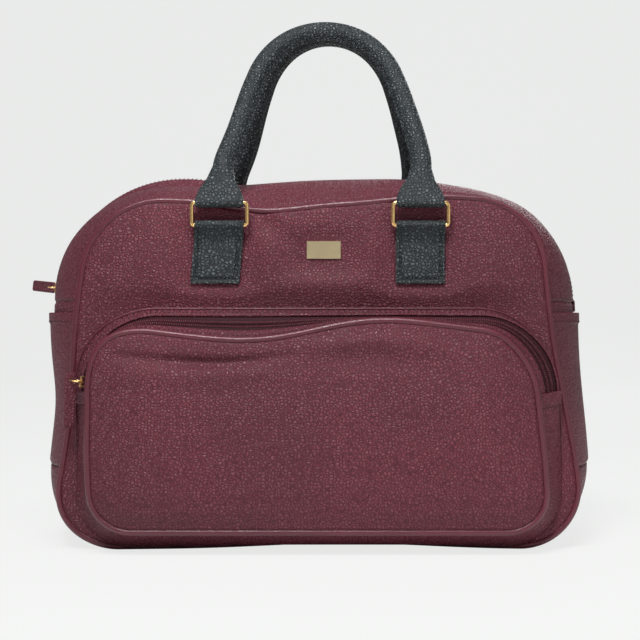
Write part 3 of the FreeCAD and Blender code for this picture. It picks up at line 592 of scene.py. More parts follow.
def pebbled(name, base, crease_shade, tops, grain, depth, gloss, shine):
    """Pebbled leather: rounded pebbles with painted shade in the creases between them and painted highlights on
    their lighter tops.
    """
    finish = Finish(name)
    edge = finish.cells(1 / grain, finish.shaken(0.6 / grain, grain * 0.9))
    fine_edge = finish.cells(2.6 / grain, finish.place)
    pebble = edge.ramp(0.0, 0.36)
    broad = finish.noise(7.0, 3.0)
    fine = finish.noise(3.0 / grain, 2.0)
    each = finish.noise(0.6 / grain, 1.0)
    light = finish.blend(broad.ramp(0.35, 0.65), paint(base, 0.86), paint(base, 1.14))
    # painted highlight: the pebbles' tops blend towards a lighter colour, as far as shine allows
    wear_and_highlight = (edge + each * 0.2).ramp(0.18, 0.62, 0.0, shine)
    light = finish.blend(wear_and_highlight, light, paint(tops))
    # painted shade: the creases between the pebbles are darkened towards the crease colour
    shade = finish.blend(edge.ramp(0.0, 0.17, 0.80, 0.0), light, paint(crease_shade))
    rough = (1 - pebble) * 0.26 + fine * 0.10 + broad * 0.05 + gloss
    relief = pebble + fine_edge.ramp(0.0, 0.3) * 0.12 + each * 0.25
    normal = finish.bump(relief, depth)
    return finish.close(Base_Color=shade, Roughness=rough, Normal=normal, Specular_IOR_Level=0.30)


def burgundy_smooth(name, base, gloss):
    """Leather drawn tight over the piping's cord: its grain is nearly pulled out."""
    finish = Finish(name)
    where = finish.shaken(300.0, 0.0008)
    edge = finish.cells(720.0, where)
    broad = finish.noise(14.0, 3.0)
    fine = finish.noise(1500.0, 2.0)
    shade = finish.blend(broad.ramp(0.3, 0.7), paint(base, 0.86), paint(base, 1.18))
    # painted shade: the grain's creases are darkened to under half the colour
    shade = finish.blend(edge.ramp(0.0, 0.10, 0.45, 0.0), shade, paint(base, 0.45))
    normal = finish.bump(edge.ramp(0.0, 0.25) + fine * 0.3, 0.00006)
    return finish.close(Base_Color=shade, Roughness=fine * 0.12 + gloss, Normal=normal,
                        Specular_IOR_Level=0.42)


def woven(name, base, pitch, gloss):
    """Closely woven tape or cloth."""
    finish = Finish(name)
    waves = []
    for direction, turn in (("X", 0.0), ("Z", 1.57)):
        waves.append(finish.node("ShaderNodeTexWave", {"wave_type": "BANDS", "bands_direction": direction},
                                 {"Vector": finish.place, "Scale": 0.05 / pitch,
                                  "Distortion": 0.4, "Phase Offset": turn}, 1))
    weave = waves[0] * waves[1]
    broad = finish.noise(30.0, 2.0)
    shade = finish.blend(weave.ramp(0.0, 0.8), paint(base, 0.55), paint(base, 1.15))
    shade = finish.blend(broad.ramp(0.35, 0.65, 0.0, 0.35), shade, paint(base, 0.75))
    normal = finish.bump(weave, 0.00015)
    return finish.close(Base_Color=shade, Roughness=broad * 0.1 + gloss, Normal=normal,
                        Specular_IOR_Level=0.2)


def plated(name, base, gloss, wear_and_highlight):
    """Plated metal with fine scratches and a little tarnish in its hollows."""
    finish = Finish(name)
    scratches = finish.noise(900.0, 4.0, 0.7)
    broad = finish.noise(120.0, 2.0)
    shade = finish.blend(broad.ramp(0.35, 0.7, 0.0, wear_and_highlight), paint(base), paint(base, 0.45))
    normal = finish.bump(scratches, 0.00002)
    return finish.close(Base_Color=shade, Metallic=1.0, Roughness=scratches * 0.16 + gloss, Normal=normal)


def threaded(name, base):
    """Twisted thread."""
    finish = Finish(name)
    twist = finish.node("ShaderNodeTexWave", {"wave_type": "BANDS", "bands_direction": "DIAGONAL"},
                        {"Vector": finish.place, "Scale": 420.0, "Distortion": 1.5}, 1)
    fine = finish.noise(2600.0, 1.0)
    shade = finish.blend(twist, paint(base, 0.8), paint(base, 1.25))
    return finish.close(Base_Color=shade, Roughness=fine * 0.2 + 0.42, Normal=finish.bump(twist, 0.00008))


def plain_foam(name, base, scale):
    finish = Finish(name)
    pores = finish.cells(scale, finish.place)
    shade = finish.blend(pores.ramp(0.0, 0.15), paint(base, 0.7), paint(base))
    return finish.close(Base_Color=shade, Roughness=pores * 0.1 + 0.85, Normal=finish.bump(pores, 0.0003))


# Bag parts in millimetres, from the frame

SEAM_INSET = 1.5
PIPING_LOW, PIPING_HIGH = corner_box("front_piping")
PIPING_R = (PIPING_HIGH[1] - PIPING_LOW[1]) / 2
PANEL_FACE = -PIPING_LOW[1]
PIPING_Y = PANEL_FACE - PIPING_R
GUSSET_END = corner_box("left_side_gusset")[1][1]
POCKET_FACE = -corner_box("pocket_face")[0][1]
POCKET_PIPING_Y = POCKET_FACE - PIPING_R
POCKET_ROOT = -corner_box("pocket_lower_gusset")[1][1]
POCKET_LIP = -corner_box("pocket_lower_gusset")[0][1]
POCKET_FLARE = corner_box("pocket_lower_gusset")[1][0] - corner_box("pocket_face")[1][0]
BASE_SEAM = corner_box("base_gusset")[1][2]
CROWN_SEAM = corner_box("left_side_gusset")[1][2]
CROWN_TOP = corner_box("top_gusset_front")[1][2]
CROWN_HALF = corner_box("base_gusset")[1][0]
ZIP_SLOT = -corner_box("top_gusset_front")[1][1]
SLIP_TOP = corner_box("left_slip_pocket")[1][2]
POCKET_SLOPE = (POCKET_FLARE + SEAM_INSET) / (POCKET_LIP - POCKET_ROOT)
POCKET_SEAM = corner_box("pocket_front_strip")[0][2]
POCKET_HEART = Vector((0, -0.08, 0.09))
RING_WIRE = 1.7
RING_LOW, RING_HIGH = corner_box("front_left_ring")
RING_LEVEL = RING_LOW[2] + RING_WIRE
RING_TOP = RING_HIGH[2] - RING_WIRE
RING_Y = (RING_LOW[1] + RING_HIGH[1]) / -2
TAB_LOW, TAB_HIGH = corner_box("front_left_tab")
TAB_CENTRE = -(TAB_LOW[0] + TAB_HIGH[0]) / 2
TAB_BOTTOM = TAB_LOW[2]
TAB_FACE = PANEL_FACE + 3.9
TAB_LIFT = 245.0
STRAP = TAB_HIGH[0] - TAB_LOW[0]


def outlines(sizes):
    """The panels', the crown's and the pocket's outlines."""
    panel = outline_in("front_piping", sizes.base_corner / MM, sizes.top_spread / MM, sizes.top_corner / MM)
    base, top = sizes.crown_base_corner / MM, sizes.crown_top_corner / MM
    crown = Outline(CROWN_HALF - base, base, base, sizes.crown_top_spread / MM, CROWN_TOP - top, top)
    pocket = outline_in("pocket_piping", sizes.pocket_base_corner / MM, sizes.pocket_top_spread / MM,
                        sizes.pocket_top_corner / MM)
    return panel, crown, pocket


def bag_edge(sizes, y):
    """The outline of the band between the panels at depth y."""
    panel, crown, _ = outlines(sizes)
    share = 1 - (y / GUSSET_END) ** 2
    return panel.grown(-SEAM_INSET).towards(crown, share)


def band(sizes, start, end, columns, depths, lift):
    """A grid on the band between the panels."""
    return ribbon(lambda y: bag_edge(sizes, y), 1, start, end, columns, depths, lift)


def rolled(distance, reach=2.2, drop=1.1):
    """How far an edge turns in at a seam, by distance from it."""
    return -drop * (1 - np.clip(distance / reach, 0, 1)) ** 2


def welt(distance, place=6.0, reach=1.5, height=0.8):
    """The ridge of a seam's turned edge under the leather."""
    return height * mound(distance, place, reach)


def seam_spacing(start, end, count):
    """Steps that are finer at both ends."""
    t = np.linspace(0, 1, count)
    return start + (end - start) * (0.65 * t + 0.35 * (0.5 - 0.5 * np.cos(math.pi * t)))


def edge_distance(x, z, outline):
    """How far points inside an outline lie from it."""
    ring = np.stack(Rail(outline).loop(700), -1)
    flat = np.stack([x.ravel(), z.ravel()], -1)
    near = np.concatenate([
        np.sqrt(((part[:, None] - ring[None]) ** 2).sum(-1)).min(1) for part in np.array_split(flat, 24)])
    return near.reshape(x.shape)


def filled(outline, columns, rows):
    """Level rows of points across an outline, and their distances from its edge."""
    rail = Rail(outline)
    half, z = rail.at(seam_spacing(rail.s[1], rail.s[-2], rows))
    across = seam_spacing(-1, 1, columns)
    x = half[:, None] * across
    z = np.repeat(z[:, None], columns, 1)
    return x, z, edge_distance(x, z, outline)


def near_tabs(x, z):
    """1 where the handles' tabs lie on a panel, and less beside them."""
    hold = np.zeros_like(x)
    for centre in (-TAB_CENTRE, TAB_CENTRE):
        hold = np.maximum(hold, np.exp(-((x - centre) / 34) ** 4 - ((z - 240) / 40) ** 4))
    return hold


def panel_surface(sizes, sign, x, z, edge):
    """Depth of a panel's face at x and z."""
    puff = sizes.panel_puff / MM
    swell = puff * (1 - (1 - np.clip(edge / 60, 0, 1)) ** 2)
    hold = near_tabs(x, z)
    if sign < 0:
        plate = np.exp(-((x - 3) / 34) ** 4 - ((z - 240) / 22) ** 4)
        pocket = smooth(216 - z, 0, 26) * smooth(196 - np.abs(x), 0, 12)
        hold = np.maximum(np.maximum(hold, plate), pocket)
    swell = swell * (1 - hold)
    fold = 0.0
    if sign < 0:
        fold = -2.6 * mound((x + 44) * 0.8 + (z - 272) * 0.6, 0, 9) * mound(z, 268, 22) * mound(x, -40, 30)
    tuck = 1.7 * (1 - np.clip(edge / 3.0, 0, 1)) ** 2
    return sign * (PANEL_FACE + swell + fold - tuck)


class DOCTORBAG_OT_finishes(bpy.types.Operator):
    """Make the leathers, metals, cloths and threads, and give them to the pieces kept from the frame"""
    bl_idname = "doctor_bag.finishes"
    bl_label = "Finishes"

    def execute(self, context):
        sizes, colours = context.scene.doctor_bag_sizes, context.scene.doctor_bag_colours
        # both leathers get painted highlights on their pebbles' tops
        pebbled("burgundy_leather", colours.burgundy, colours.burgundy_crease_shade, colours.burgundy_highlight_tops,
                sizes.grain, 0.00046, 0.27, 0.34)
        # the black leather's painted crease shade is a quarter of its colour
        pebbled("black_leather", colours.black, [c * 0.25 for c in colours.black], colours.black_highlight_tops,
                sizes.handle_grain, 0.00060, 0.23, 0.50)
        burgundy_smooth("burgundy_piping", colours.piping, 0.26)
        burgundy_smooth("zip_teeth", colours.piping, 0.30)
        woven("zip_tape", colours.thread, 0.0006, 0.7)
        woven("lining_cloth", (0.012, 0.012, 0.014), 0.0008, 0.75)
        plated("ring_metal", colours.gold, 0.20, 0.25)
        plated("slider_metal", colours.gold, 0.24, 0.55)
        plated("plate_metal", colours.pale_gold, 0.22, 0.10)
        threaded("burgundy_thread", colours.thread)
        threaded("black_thread", colours.black_thread)
        threaded("handle_cord", (0.55, 0.52, 0.45))
        plain_foam("base_board", (0.05, 0.05, 0.05), 700.0)
        slots = {part["node"]: part["material_slot"] for part in frame["record"]["subparts"]}
        for node, piece in frame["nodes"].items():
            slot = slots[node]
            if slot + FINISH in bpy.data.materials:
                for held in piece.material_slots:
                    held.material = bpy.data.materials[slot + FINISH]
        return {"FINISHED"}


class DOCTORBAG_OT_panels(bpy.types.Operator):
    """Make the padded front and back panels"""
    bl_idname = "doctor_bag.panels"
    bl_label = "Panels"

    def execute(self, context):
        sizes = context.scene.doctor_bag_sizes
        panel, _, _ = outlines(sizes)
        outline = panel.grown(-4.2)
        for name, sign in SIDES:
            x, z, edge = filled(outline, 170, 130)
            y = panel_surface(sizes, sign, x, z, edge)
            piece = sheet_of(name + "_panel_leather", settled(np.stack([x, y, z], -1)))
            thicken(piece, sizes.leather / MM)
            dress(piece, "burgundy_leather",
                  replaces=(name + "_panel", name + "_padding"))
        return {"FINISHED"}


class DOCTORBAG_OT_piping(bpy.types.Operator):
    """Make the piping round the panels and the pocket"""
    bl_idname = "doctor_bag.piping"
    bl_label = "Piping"

    def execute(self, context):
        panel, _, pocket = outlines(context.scene.doctor_bag_sizes)
        for name, outline, y in (("front_piping", panel, -PIPING_Y), ("back_piping", panel, PIPING_Y),
                                 ("pocket_piping", pocket, -POCKET_PIPING_Y)):
            x, z = Rail(outline.grown(-PIPING_R)).loop(420)
            path = np.stack([x, np.full_like(x, y), z], -1)
            piece = tube(name + "_leather", path, (0, 1, 0), circle(PIPING_R, 14), closed=True)
            dress(piece, "burgundy_piping", replaces=(name,))
        return {"FINISHED"}


class DOCTORBAG_OT_gussets(bpy.types.Operator):
    """Make the base, the sides and the strips beside the main zip"""
    bl_idname = "doctor_bag.gussets"
    bl_label = "Gussets"

    def execute(self, context):
        sizes = context.scene.doctor_bag_sizes
        end = GUSSET_END + 1.2
        whole = seam_spacing(-end, end, 81)

        crown_low, crown_high = from_level(CROWN_SEAM), over_to(CROWN_SEAM)

        def puffed(low, high, sag):
            def rise(y, rail, s):
                inside = np.minimum(s - low(rail), high(rail) - s)
                wave = sag * (1 - (y / GUSSET_END) ** 2) * np.sin(s / 37 + y / 29)
                return rolled(inside) + wave * smooth(inside, 0, 30) + welt(GUSSET_END - abs(y))
            return rise

        pieces = (
            ("base_gusset", from_level(BASE_SEAM, -1), from_level(BASE_SEAM), 240, 0.0),
            ("right_side_gusset", from_level(BASE_SEAM), crown_low, 70, 0.5),
            ("left_side_gusset", from_level(CROWN_SEAM, -1), from_level(BASE_SEAM, -1), 70, 0.5),
        )
        for name, low, high, columns, sag in pieces:
            grid = band(sizes, low, high, columns, whole, puffed(low, high, sag))
            grid[..., 2] = np.maximum(grid[..., 2], 0.0)
            grid = settled(grid)
            grid[..., 2] = np.maximum(grid[..., 2], 0.0)
            piece = thicken(sheet_of(name + "_leather", grid), sizes.leather / MM)
            dress(piece, "burgundy_leather", replaces=(name,))
        for name, sign in SIDES:
            depths = sign * seam_spacing(ZIP_SLOT, end, 52)

            def rise(y, rail, s):
                inside = np.minimum(s - crown_low(rail), crown_high(rail) - s)
                beside_zip = abs(y) - ZIP_SLOT
                swell = 2.2 * math.sin(math.pi * min(1.0, beside_zip / (GUSSET_END - ZIP_SLOT)))
                turned = welt(GUSSET_END - abs(y)) + welt(beside_zip, 5.0, 1.6, 0.4)
                return rolled(inside) + rolled(beside_zip, 2.6, 0.9) + swell * smooth(inside, 0, 60) + turned

            grid = settled(band(sizes, crown_low, crown_high, 230, depths, rise))
            node = "top_gusset_front" if sign < 0 else "top_gusset_rear"
            piece = thicken(sheet_of(node + "_leather", grid), sizes.leather / MM)
            dress(piece, "burgundy_leather", replaces=(node,))
        return {"FINISHED"}


class DOCTORBAG_OT_lining(bpy.types.Operator):
    """Make the cloth lining inside the leather"""
    bl_idname = "doctor_bag.lining"
    bl_label = "Lining"

    def execute(self, context):
        sizes = context.scene.doctor_bag_sizes
        inset = sizes.leather / MM + 0.9
        almost_round = 2 * 0.9999
        grid = settled(band(sizes, lambda rail: 0.0, lambda rail: rail.length * almost_round, 300,
                            np.linspace(-GUSSET_END + 1, GUSSET_END - 1, 31), lambda y, rail, s: -inset))
        grid[..., 2] = np.maximum(grid[..., 2], inset)
        piece = thicken(sheet_of("lining_cloth_band", grid), 0.5)
        dress(piece, "lining_cloth", replaces=("lining",))
        return {"FINISHED"}


class DOCTORBAG_OT_slip_pockets(bpy.types.Operator):
    """Make the open pockets on the bag's sides, each with a turned hem"""
    bl_idname = "doctor_bag.slip_pockets"
    bl_label = "Slip pockets"

    def execute(self, context):
        sizes = context.scene.doctor_bag_sizes
        for hand, sign in HANDS:
            def rise(y, rail, s):
                low = rail.level(BASE_SEAM)
                high = rail.level(SLIP_TOP)
                up = np.clip((np.abs(s) - low) / (high - low), 0, 1)
                middle = np.clip(1 - (y / GUSSET_END) ** 2, 0, 1)
                hem = 0.9 * smooth(np.abs(s), high - 9.0, high - 8.0)
                return 1.5 + rolled(np.abs(s) - low, 3.0, 1.2) + 2.6 * middle * up ** 1.5 + hem * middle ** 0.2

            grid = band(sizes, from_level(BASE_SEAM, sign), from_level(SLIP_TOP, sign),
                        64, seam_spacing(-GUSSET_END - 1, GUSSET_END + 1, 53), rise)
            piece = thicken(sheet_of(hand + "_slip_pocket_leather", settled(grid)), 1.3)
            dress(piece, "burgundy_leather", replaces=(hand + "_slip_pocket",))
        return {"FINISHED"}


def pocket_wall_outline(pocket, y):
    """The pocket wall's outline at depth -y: narrow at its lip and wide at its root."""
    return pocket.grown(POCKET_FLARE - POCKET_SLOPE * (y - POCKET_ROOT))


def pocket_wall(pocket, start, end, columns, depths, lift):
    """A grid on the pocket's wall."""
    return ribbon(lambda y: pocket_wall_outline(pocket, y), -1, start, end, columns, depths, lift)


class DOCTORBAG_OT_front_pocket(bpy.types.Operator):
    """Make the front pocket's padded face and its wall, with the strips beside its zip"""
    bl_idname = "doctor_bag.front_pocket"
    bl_label = "Front pocket"

    def execute(self, context):
        sizes = context.scene.doctor_bag_sizes
        _, _, pocket = outlines(sizes)
        x, z, edge = filled(pocket.grown(-4.2), 190, 110)
        puff = sizes.pocket_puff / MM * (1 - (1 - np.clip(edge / 64, 0, 1)) ** 2)
        fold_line = z - (158 + 6 * np.tanh((x + 60) / 70))
        crease = -4.6 * mound(fold_line, 0, 4.5) * mound(x, -95, 62)
        roll = 1.5 * mound(fold_line, -12, 7.0) * mound(x, -80, 80)
        slanted = (x - 20) * 0.08
        sheen = (3.0 * mound(z - 163 + slanted, 0, 9) * mound(x, 25, 64)
                 - 2.2 * mound(z - 150 + slanted, 0, 8) * mound(x, 30, 50))
        sag = 2.0 * mound(z, 45, 34) * (1 - mound(x, 0, 70) * 0.5)
        tuck = 1.7 * (1 - np.clip(edge / 3.0, 0, 1)) ** 2
        inner = smooth(edge, 2, 14)
        # the handle comes to rest against the face when it is let down
        room = 1.4 + 0.155 * (172 - z) + 6 * smooth(np.abs(x), 96, 130)
        swell = -0.8 * np.log(np.exp(-(puff + sag * inner) / 0.8) + np.exp(-room / 0.8))
        swell += (crease + roll + sheen) * inner
        y = -(POCKET_FACE + swell - tuck)
        piece = thicken(sheet_of("pocket_face_leather", settled(np.stack([x, y, z], -1)),
                                 Vector((0, 0.5, 0.09))), sizes.leather / MM)
        dress(piece, "burgundy_leather", replaces=("pocket_face",))

        strip_front = -corner_box("pocket_front_strip")[1][1]
        strip_rear = -corner_box("pocket_rear_strip")[0][1]

        low, high, over = from_level(POCKET_SEAM, -1), from_level(POCKET_SEAM), over_to(POCKET_SEAM)

        def edges(start, end, zip_edge=None):
            def rise(y, rail, s):
                inside = np.minimum(s - start(rail), end(rail) - s)
                fall = rolled(inside, 2.0, 0.8)
                if zip_edge is not None:
                    fall = fall + rolled(abs(y - zip_edge), 1.8, 0.7)
                return fall
            return rise

        root, lip = POCKET_ROOT - 0.6, POCKET_LIP + 2.2
        walls = (
            ("pocket_lower_gusset", low, high, 330, np.linspace(root, lip, 14), None),
            ("pocket_front_strip", high, over, 260, np.linspace(strip_front, lip, 8), strip_front),
            ("pocket_rear_strip", high, over, 260, np.linspace(root, strip_rear, 8), strip_rear),
        )
        for name, start, end, columns, depths, zip_edge in walls:
            grid = settled(pocket_wall(pocket, start, end, columns, depths, edges(start, end, zip_edge)))
            piece = thicken(sheet_of(name + "_leather", grid, POCKET_HEART), sizes.leather / MM)
            dress(piece, "burgundy_leather", replaces=(name,))
        return {"FINISHED"}


class DOCTORBAG_OT_zips(bpy.types.Operator):
    """Make both zips: woven tapes and rows of teeth"""
    bl_idname = "doctor_bag.zips"
    bl_label = "Zips"

    def execute(self, context):
        sizes = context.scene.doctor_bag_sizes
        _, crown, pocket = outlines(sizes)
        pitch = sizes.tooth / MM
        zip_y = (POCKET_LIP + POCKET_ROOT) / 2

        def sew_side(node, grid, heart, rail, level, y, lean, late, size):
            """One tape and its row of teeth. late moves the teeth on by half their pitch."""
            piece = thicken(sheet_of(node + "_tape", grid, heart), 0.6)
            dress(piece, "zip_tape", replaces=(node,))
            s = np.linspace(rail.level(level), 2 * rail.length - rail.level(level), 500)
            s = s + (pitch / 2 if late else 0)
            x, z = rail.at(s)
            path = settled(np.stack([x, np.full_like(x, y), z], -1))
            line = (path, rail.outward(s, lean))
            teeth = row_of(node + "_teeth", [line], "zip_teeth", pitch, size, loose=0.0)
            dress(teeth, "zip_teeth")

        tape_end = corner_box("main_zip_rear_stringer")[1][1]
        for node, side in (("main_zip_front_stringer", -1), ("main_zip_rear_stringer", 1)):
            grid = settled(band(sizes, from_level(CROWN_SEAM), over_to(CROWN_SEAM), 230,
                                side * np.linspace(0.2, tape_end, 8), lambda y, rail, s: -2.5))
            sew_side(node, grid, HEART, Rail(crown.grown(-2.3)), CROWN_SEAM, side * 1.45, 0.0, side > 0,
                     (1.2, 3.1, 1.6))
        for node, side in (("pocket_zip_front_stringer", 1), ("pocket_zip_rear_stringer", -1)):
            grid = settled(pocket_wall(pocket, from_level(POCKET_SEAM), over_to(POCKET_SEAM), 230,
                                       zip_y + side * np.linspace(0.2, 6.2, 6), lambda y, rail, s: -2.4))
            y = zip_y + side * 1.35
            rail = Rail(pocket_wall_outline(pocket, y).grown(-1.7))
            sew_side(node, grid, POCKET_HEART, rail, POCKET_SEAM, -y, POCKET_SLOPE, side > 0, (1.2, 3.0, 1.5))
        return {"FINISHED"}


class DOCTORBAG_OT_zip_ends(bpy.types.Operator):
    """Make the leather folded over the ends of both zips"""
    bl_idname = "doctor_bag.zip_ends"
    bl_label = "Zip ends"

    def execute(self, context):
        sizes = context.scene.doctor_bag_sizes
        _, _, pocket = outlines(sizes)
        tab_low, tab_high = corner_box("main_zip_right_end_tab")
        cover_low, cover_high = corner_box("pocket_right_end_cover")
        for hand, sign in HANDS:
            def lift(y, rail, s):
                run = np.abs(s)
                inside = np.minimum(run - rail.level(tab_low[2]), rail.level(tab_high[2]) - run)
                inside = np.minimum(inside, tab_high[1] - abs(y))
                return 0.4 + sizes.leather / MM + rolled(inside, 1.2, 0.8)

            grid = band(sizes, from_level(tab_low[2], sign), from_level(tab_high[2], sign),
                        16, np.linspace(tab_low[1], tab_high[1], 22), lift)
            piece = thicken(sheet_of(f"main_zip_{hand}_end_leather", settled(grid)), sizes.leather / MM)
            dress(piece, "burgundy_leather", replaces=(f"main_zip_{hand}_end_tab",))

            def cover_lift(y, rail, s):
                run = np.abs(s)
                inside = np.minimum(run - rail.level(cover_low[2]), rail.level(cover_high[2]) - run)
                return 0.3 + 1.4 + rolled(inside, 1.2, 0.8)

            grid = pocket_wall(pocket, from_level(cover_low[2], sign), from_level(cover_high[2], sign),
                               14, np.linspace(-cover_high[1], -cover_low[1], 20), cover_lift)
            piece = thicken(sheet_of(f"pocket_{hand}_end_leather", settled(grid), POCKET_HEART), 1.4)
            dress(piece, "burgundy_leather", replaces=(f"pocket_{hand}_end_cover",))
        return {"FINISHED"}


# Tabs and handles

def skewed(points, side, hand):
    """The front left tab hangs a little to the left of its ring."""
    if side == "front" and hand == "left":
        points = np.array(points, float)
        points[..., 0] -= 0.085 * (RING_LEVEL - points[..., 2])
    return points


def boxed(x_low, x_high, z_low, z_high, y, step=3.0):
    """A rectangle of points round a tab, for its stitching."""
    corners = [(x_low, z_low), (x_high, z_low), (x_high, z_high), (x_low, z_high), (x_low, z_low)]
    points = []
    for (xa, za), (xb, zb) in zip(corners, corners[1:]):
        count = max(2, int(math.hypot(xb - xa, zb - za) / step))
        points += [(xa + (xb - xa) * t, y, za + (zb - za) * t)
                   for t in np.linspace(0, 1, count, endpoint=False)]
    return np.array(points + points[:1])


class DOCTORBAG_OT_tabs(bpy.types.Operator):
    """Make the four leather tabs that hold the rings"""
    bl_idname = "doctor_bag.tabs"
    bl_label = "Tabs"

    def execute(self, context):
        stitch = context.scene.doctor_bag_sizes.stitch / MM
        thread = context.scene.doctor_bag_sizes.thread / MM
        loop_r = 4.0
        rim = 3.6
        profile = [(TAB_FACE, z) for z in np.linspace(TAB_BOTTOM, TAB_LIFT, 46)]
        for z in np.linspace(TAB_LIFT + 2, RING_LEVEL - 3, 4):
            share = (z - TAB_LIFT) / (RING_LEVEL - TAB_LIFT)
            profile.append((TAB_FACE + (RING_Y + loop_r - TAB_FACE) * share ** 1.5, z))
        for turn in np.linspace(0, math.radians(200), 18):
            profile.append((RING_Y + loop_r * math.cos(turn), RING_LEVEL + loop_r * math.sin(turn)))
        profile += [(PANEL_FACE + 1.2, RING_LEVEL - 6), (PANEL_FACE + 0.1, TAB_LIFT + 2)]
        profile += [(PANEL_FACE + 0.1, z) for z in np.linspace(TAB_LIFT - 5, TAB_BOTTOM, 8)]
        profile = np.array(profile)
        count = len(profile)
        across = np.linspace(-STRAP / 2, STRAP / 2, 61)
        for side, sign in SIDES:
            for hand, hand_sign in HANDS:
                centre = hand_sign * TAB_CENTRE
                points = np.array([[(centre + x, sign * y, z) for y, z in profile] for x in across])
                # the stitching draws the leather in along a box, and the rim stays a little proud
                inward = np.minimum(STRAP / 2 - np.abs(across)[:, None], profile[None, :, 1] - TAB_BOTTOM)
                on_face = (profile[None, :, 0] > TAB_FACE - 0.5)
                points[..., 1] -= sign * 1.3 * mound(inward, rim, 1.1) * on_face
                faces = [tuple(f) for f in grid_faces(len(across), count, False, True)]
                faces.append(tuple(range(count - 1, -1, -1)))
                faces.append(tuple(range((len(across) - 1) * count, len(across) * count)))
                name = f"{side}_{hand}_tab"
                piece = turn_outward(new_mesh(name + "_leather", skewed(points, side, hand), faces))
                edge = piece.modifiers.new("Edges", "BEVEL")
                edge.width = 0.8 * MM
                edge.segments = 3
                edge.angle_limit = math.radians(40)
                dress(piece, "black_leather", replaces=(name,))
                reach = STRAP / 2 - rim
                box = boxed(centre - reach, centre + reach, TAB_BOTTOM + rim, TAB_LIFT, sign * (TAB_FACE - 0.9))
                row = row_of(name + "_stitches", [(skewed(box, side, hand), (0, sign, 0))], "black_thread",
                             stitch, (stitch * 0.74, thread * 1.7, thread))
                dress(row, "black_thread")
        return {"FINISHED"}


def handle_sway(sign, up):
    """How far the soft handles lean to the right, by height along them. The back one leans further."""
    return (4.4 if sign < 0 else 8.0) * smooth(up, 2, 75)


class HandleFrame:
    """A handle's own frame: across, up along the handle, and through it."""

    def __init__(self, sign):
        reach, handle_r, clearance = 168.5, 7.5, 0.15
        sine = (RING_Y - handle_r - clearance) / reach
        self.origin = np.array((0, sign * RING_Y, RING_TOP))
        self.across = np.array((1.0, 0, 0))
        self.up = np.array((0, -sign * sine, math.sqrt(1 - sine ** 2)))
        self.through = np.cross(self.across, self.up)

    def place(self, x, up, through=0.0):
        return (self.origin + np.multiply.outer(x, self.across) + np.multiply.outer(up, self.up)
                + np.multiply.outer(through, self.through))


def handle_line():
    """The handle's centre line from the left loop to the right one, across and up, with distances."""
    bend, grip, rise, neck = 60.0, 60.0, 168.0, 32.0
    slant = math.atan2(20.0, rise - grip - neck)
    points = [(-80.0, h) for h in np.linspace(-4.0, neck, 40)]
    points += [(-20 - bend * math.cos(a), neck + bend * math.sin(a)) for a in np.linspace(0, slant, 8)[1:]]
    ends = [(-20 - bend * math.cos(slant), neck + bend * math.sin(slant)),
            (-grip * math.cos(slant), rise - grip + grip * math.sin(slant))]
    points += [tuple(np.array(ends[0]) + (np.array(ends[1]) - ends[0]) * t)
               for t in np.linspace(0, 1, 20)[1:]]
    points += [(-grip * math.cos(a), rise - grip + grip * math.sin(a))
               for a in np.linspace(slant, math.pi / 2, 40)[1:]]
    left = np.array(points)
    right = left[-2::-1] * np.array((-1, 1))
    return np.concatenate([left, right])


FLARE = (
    # distance along the handle from the ring's bar, width, thickness, squareness
    (-4.0, 38.2, 1.6, 4.0), (-3.2, 38.8, 5.0, 4.0), (-1.8, 39.0, 7.2, 4.0), (0.0, 39.0, 8.0, 4.0),
    (2.2, 38.6, 7.0, 4.0), (5.0, 37.4, 5.4, 4.0), (11.0, 33.6, 6.6, 3.4), (20.0, 23.6, 10.0, 2.6),
    (32.0, 16.4, 15.0, 2.1), (46.0, 16.0, 15.0, 2.0),
)


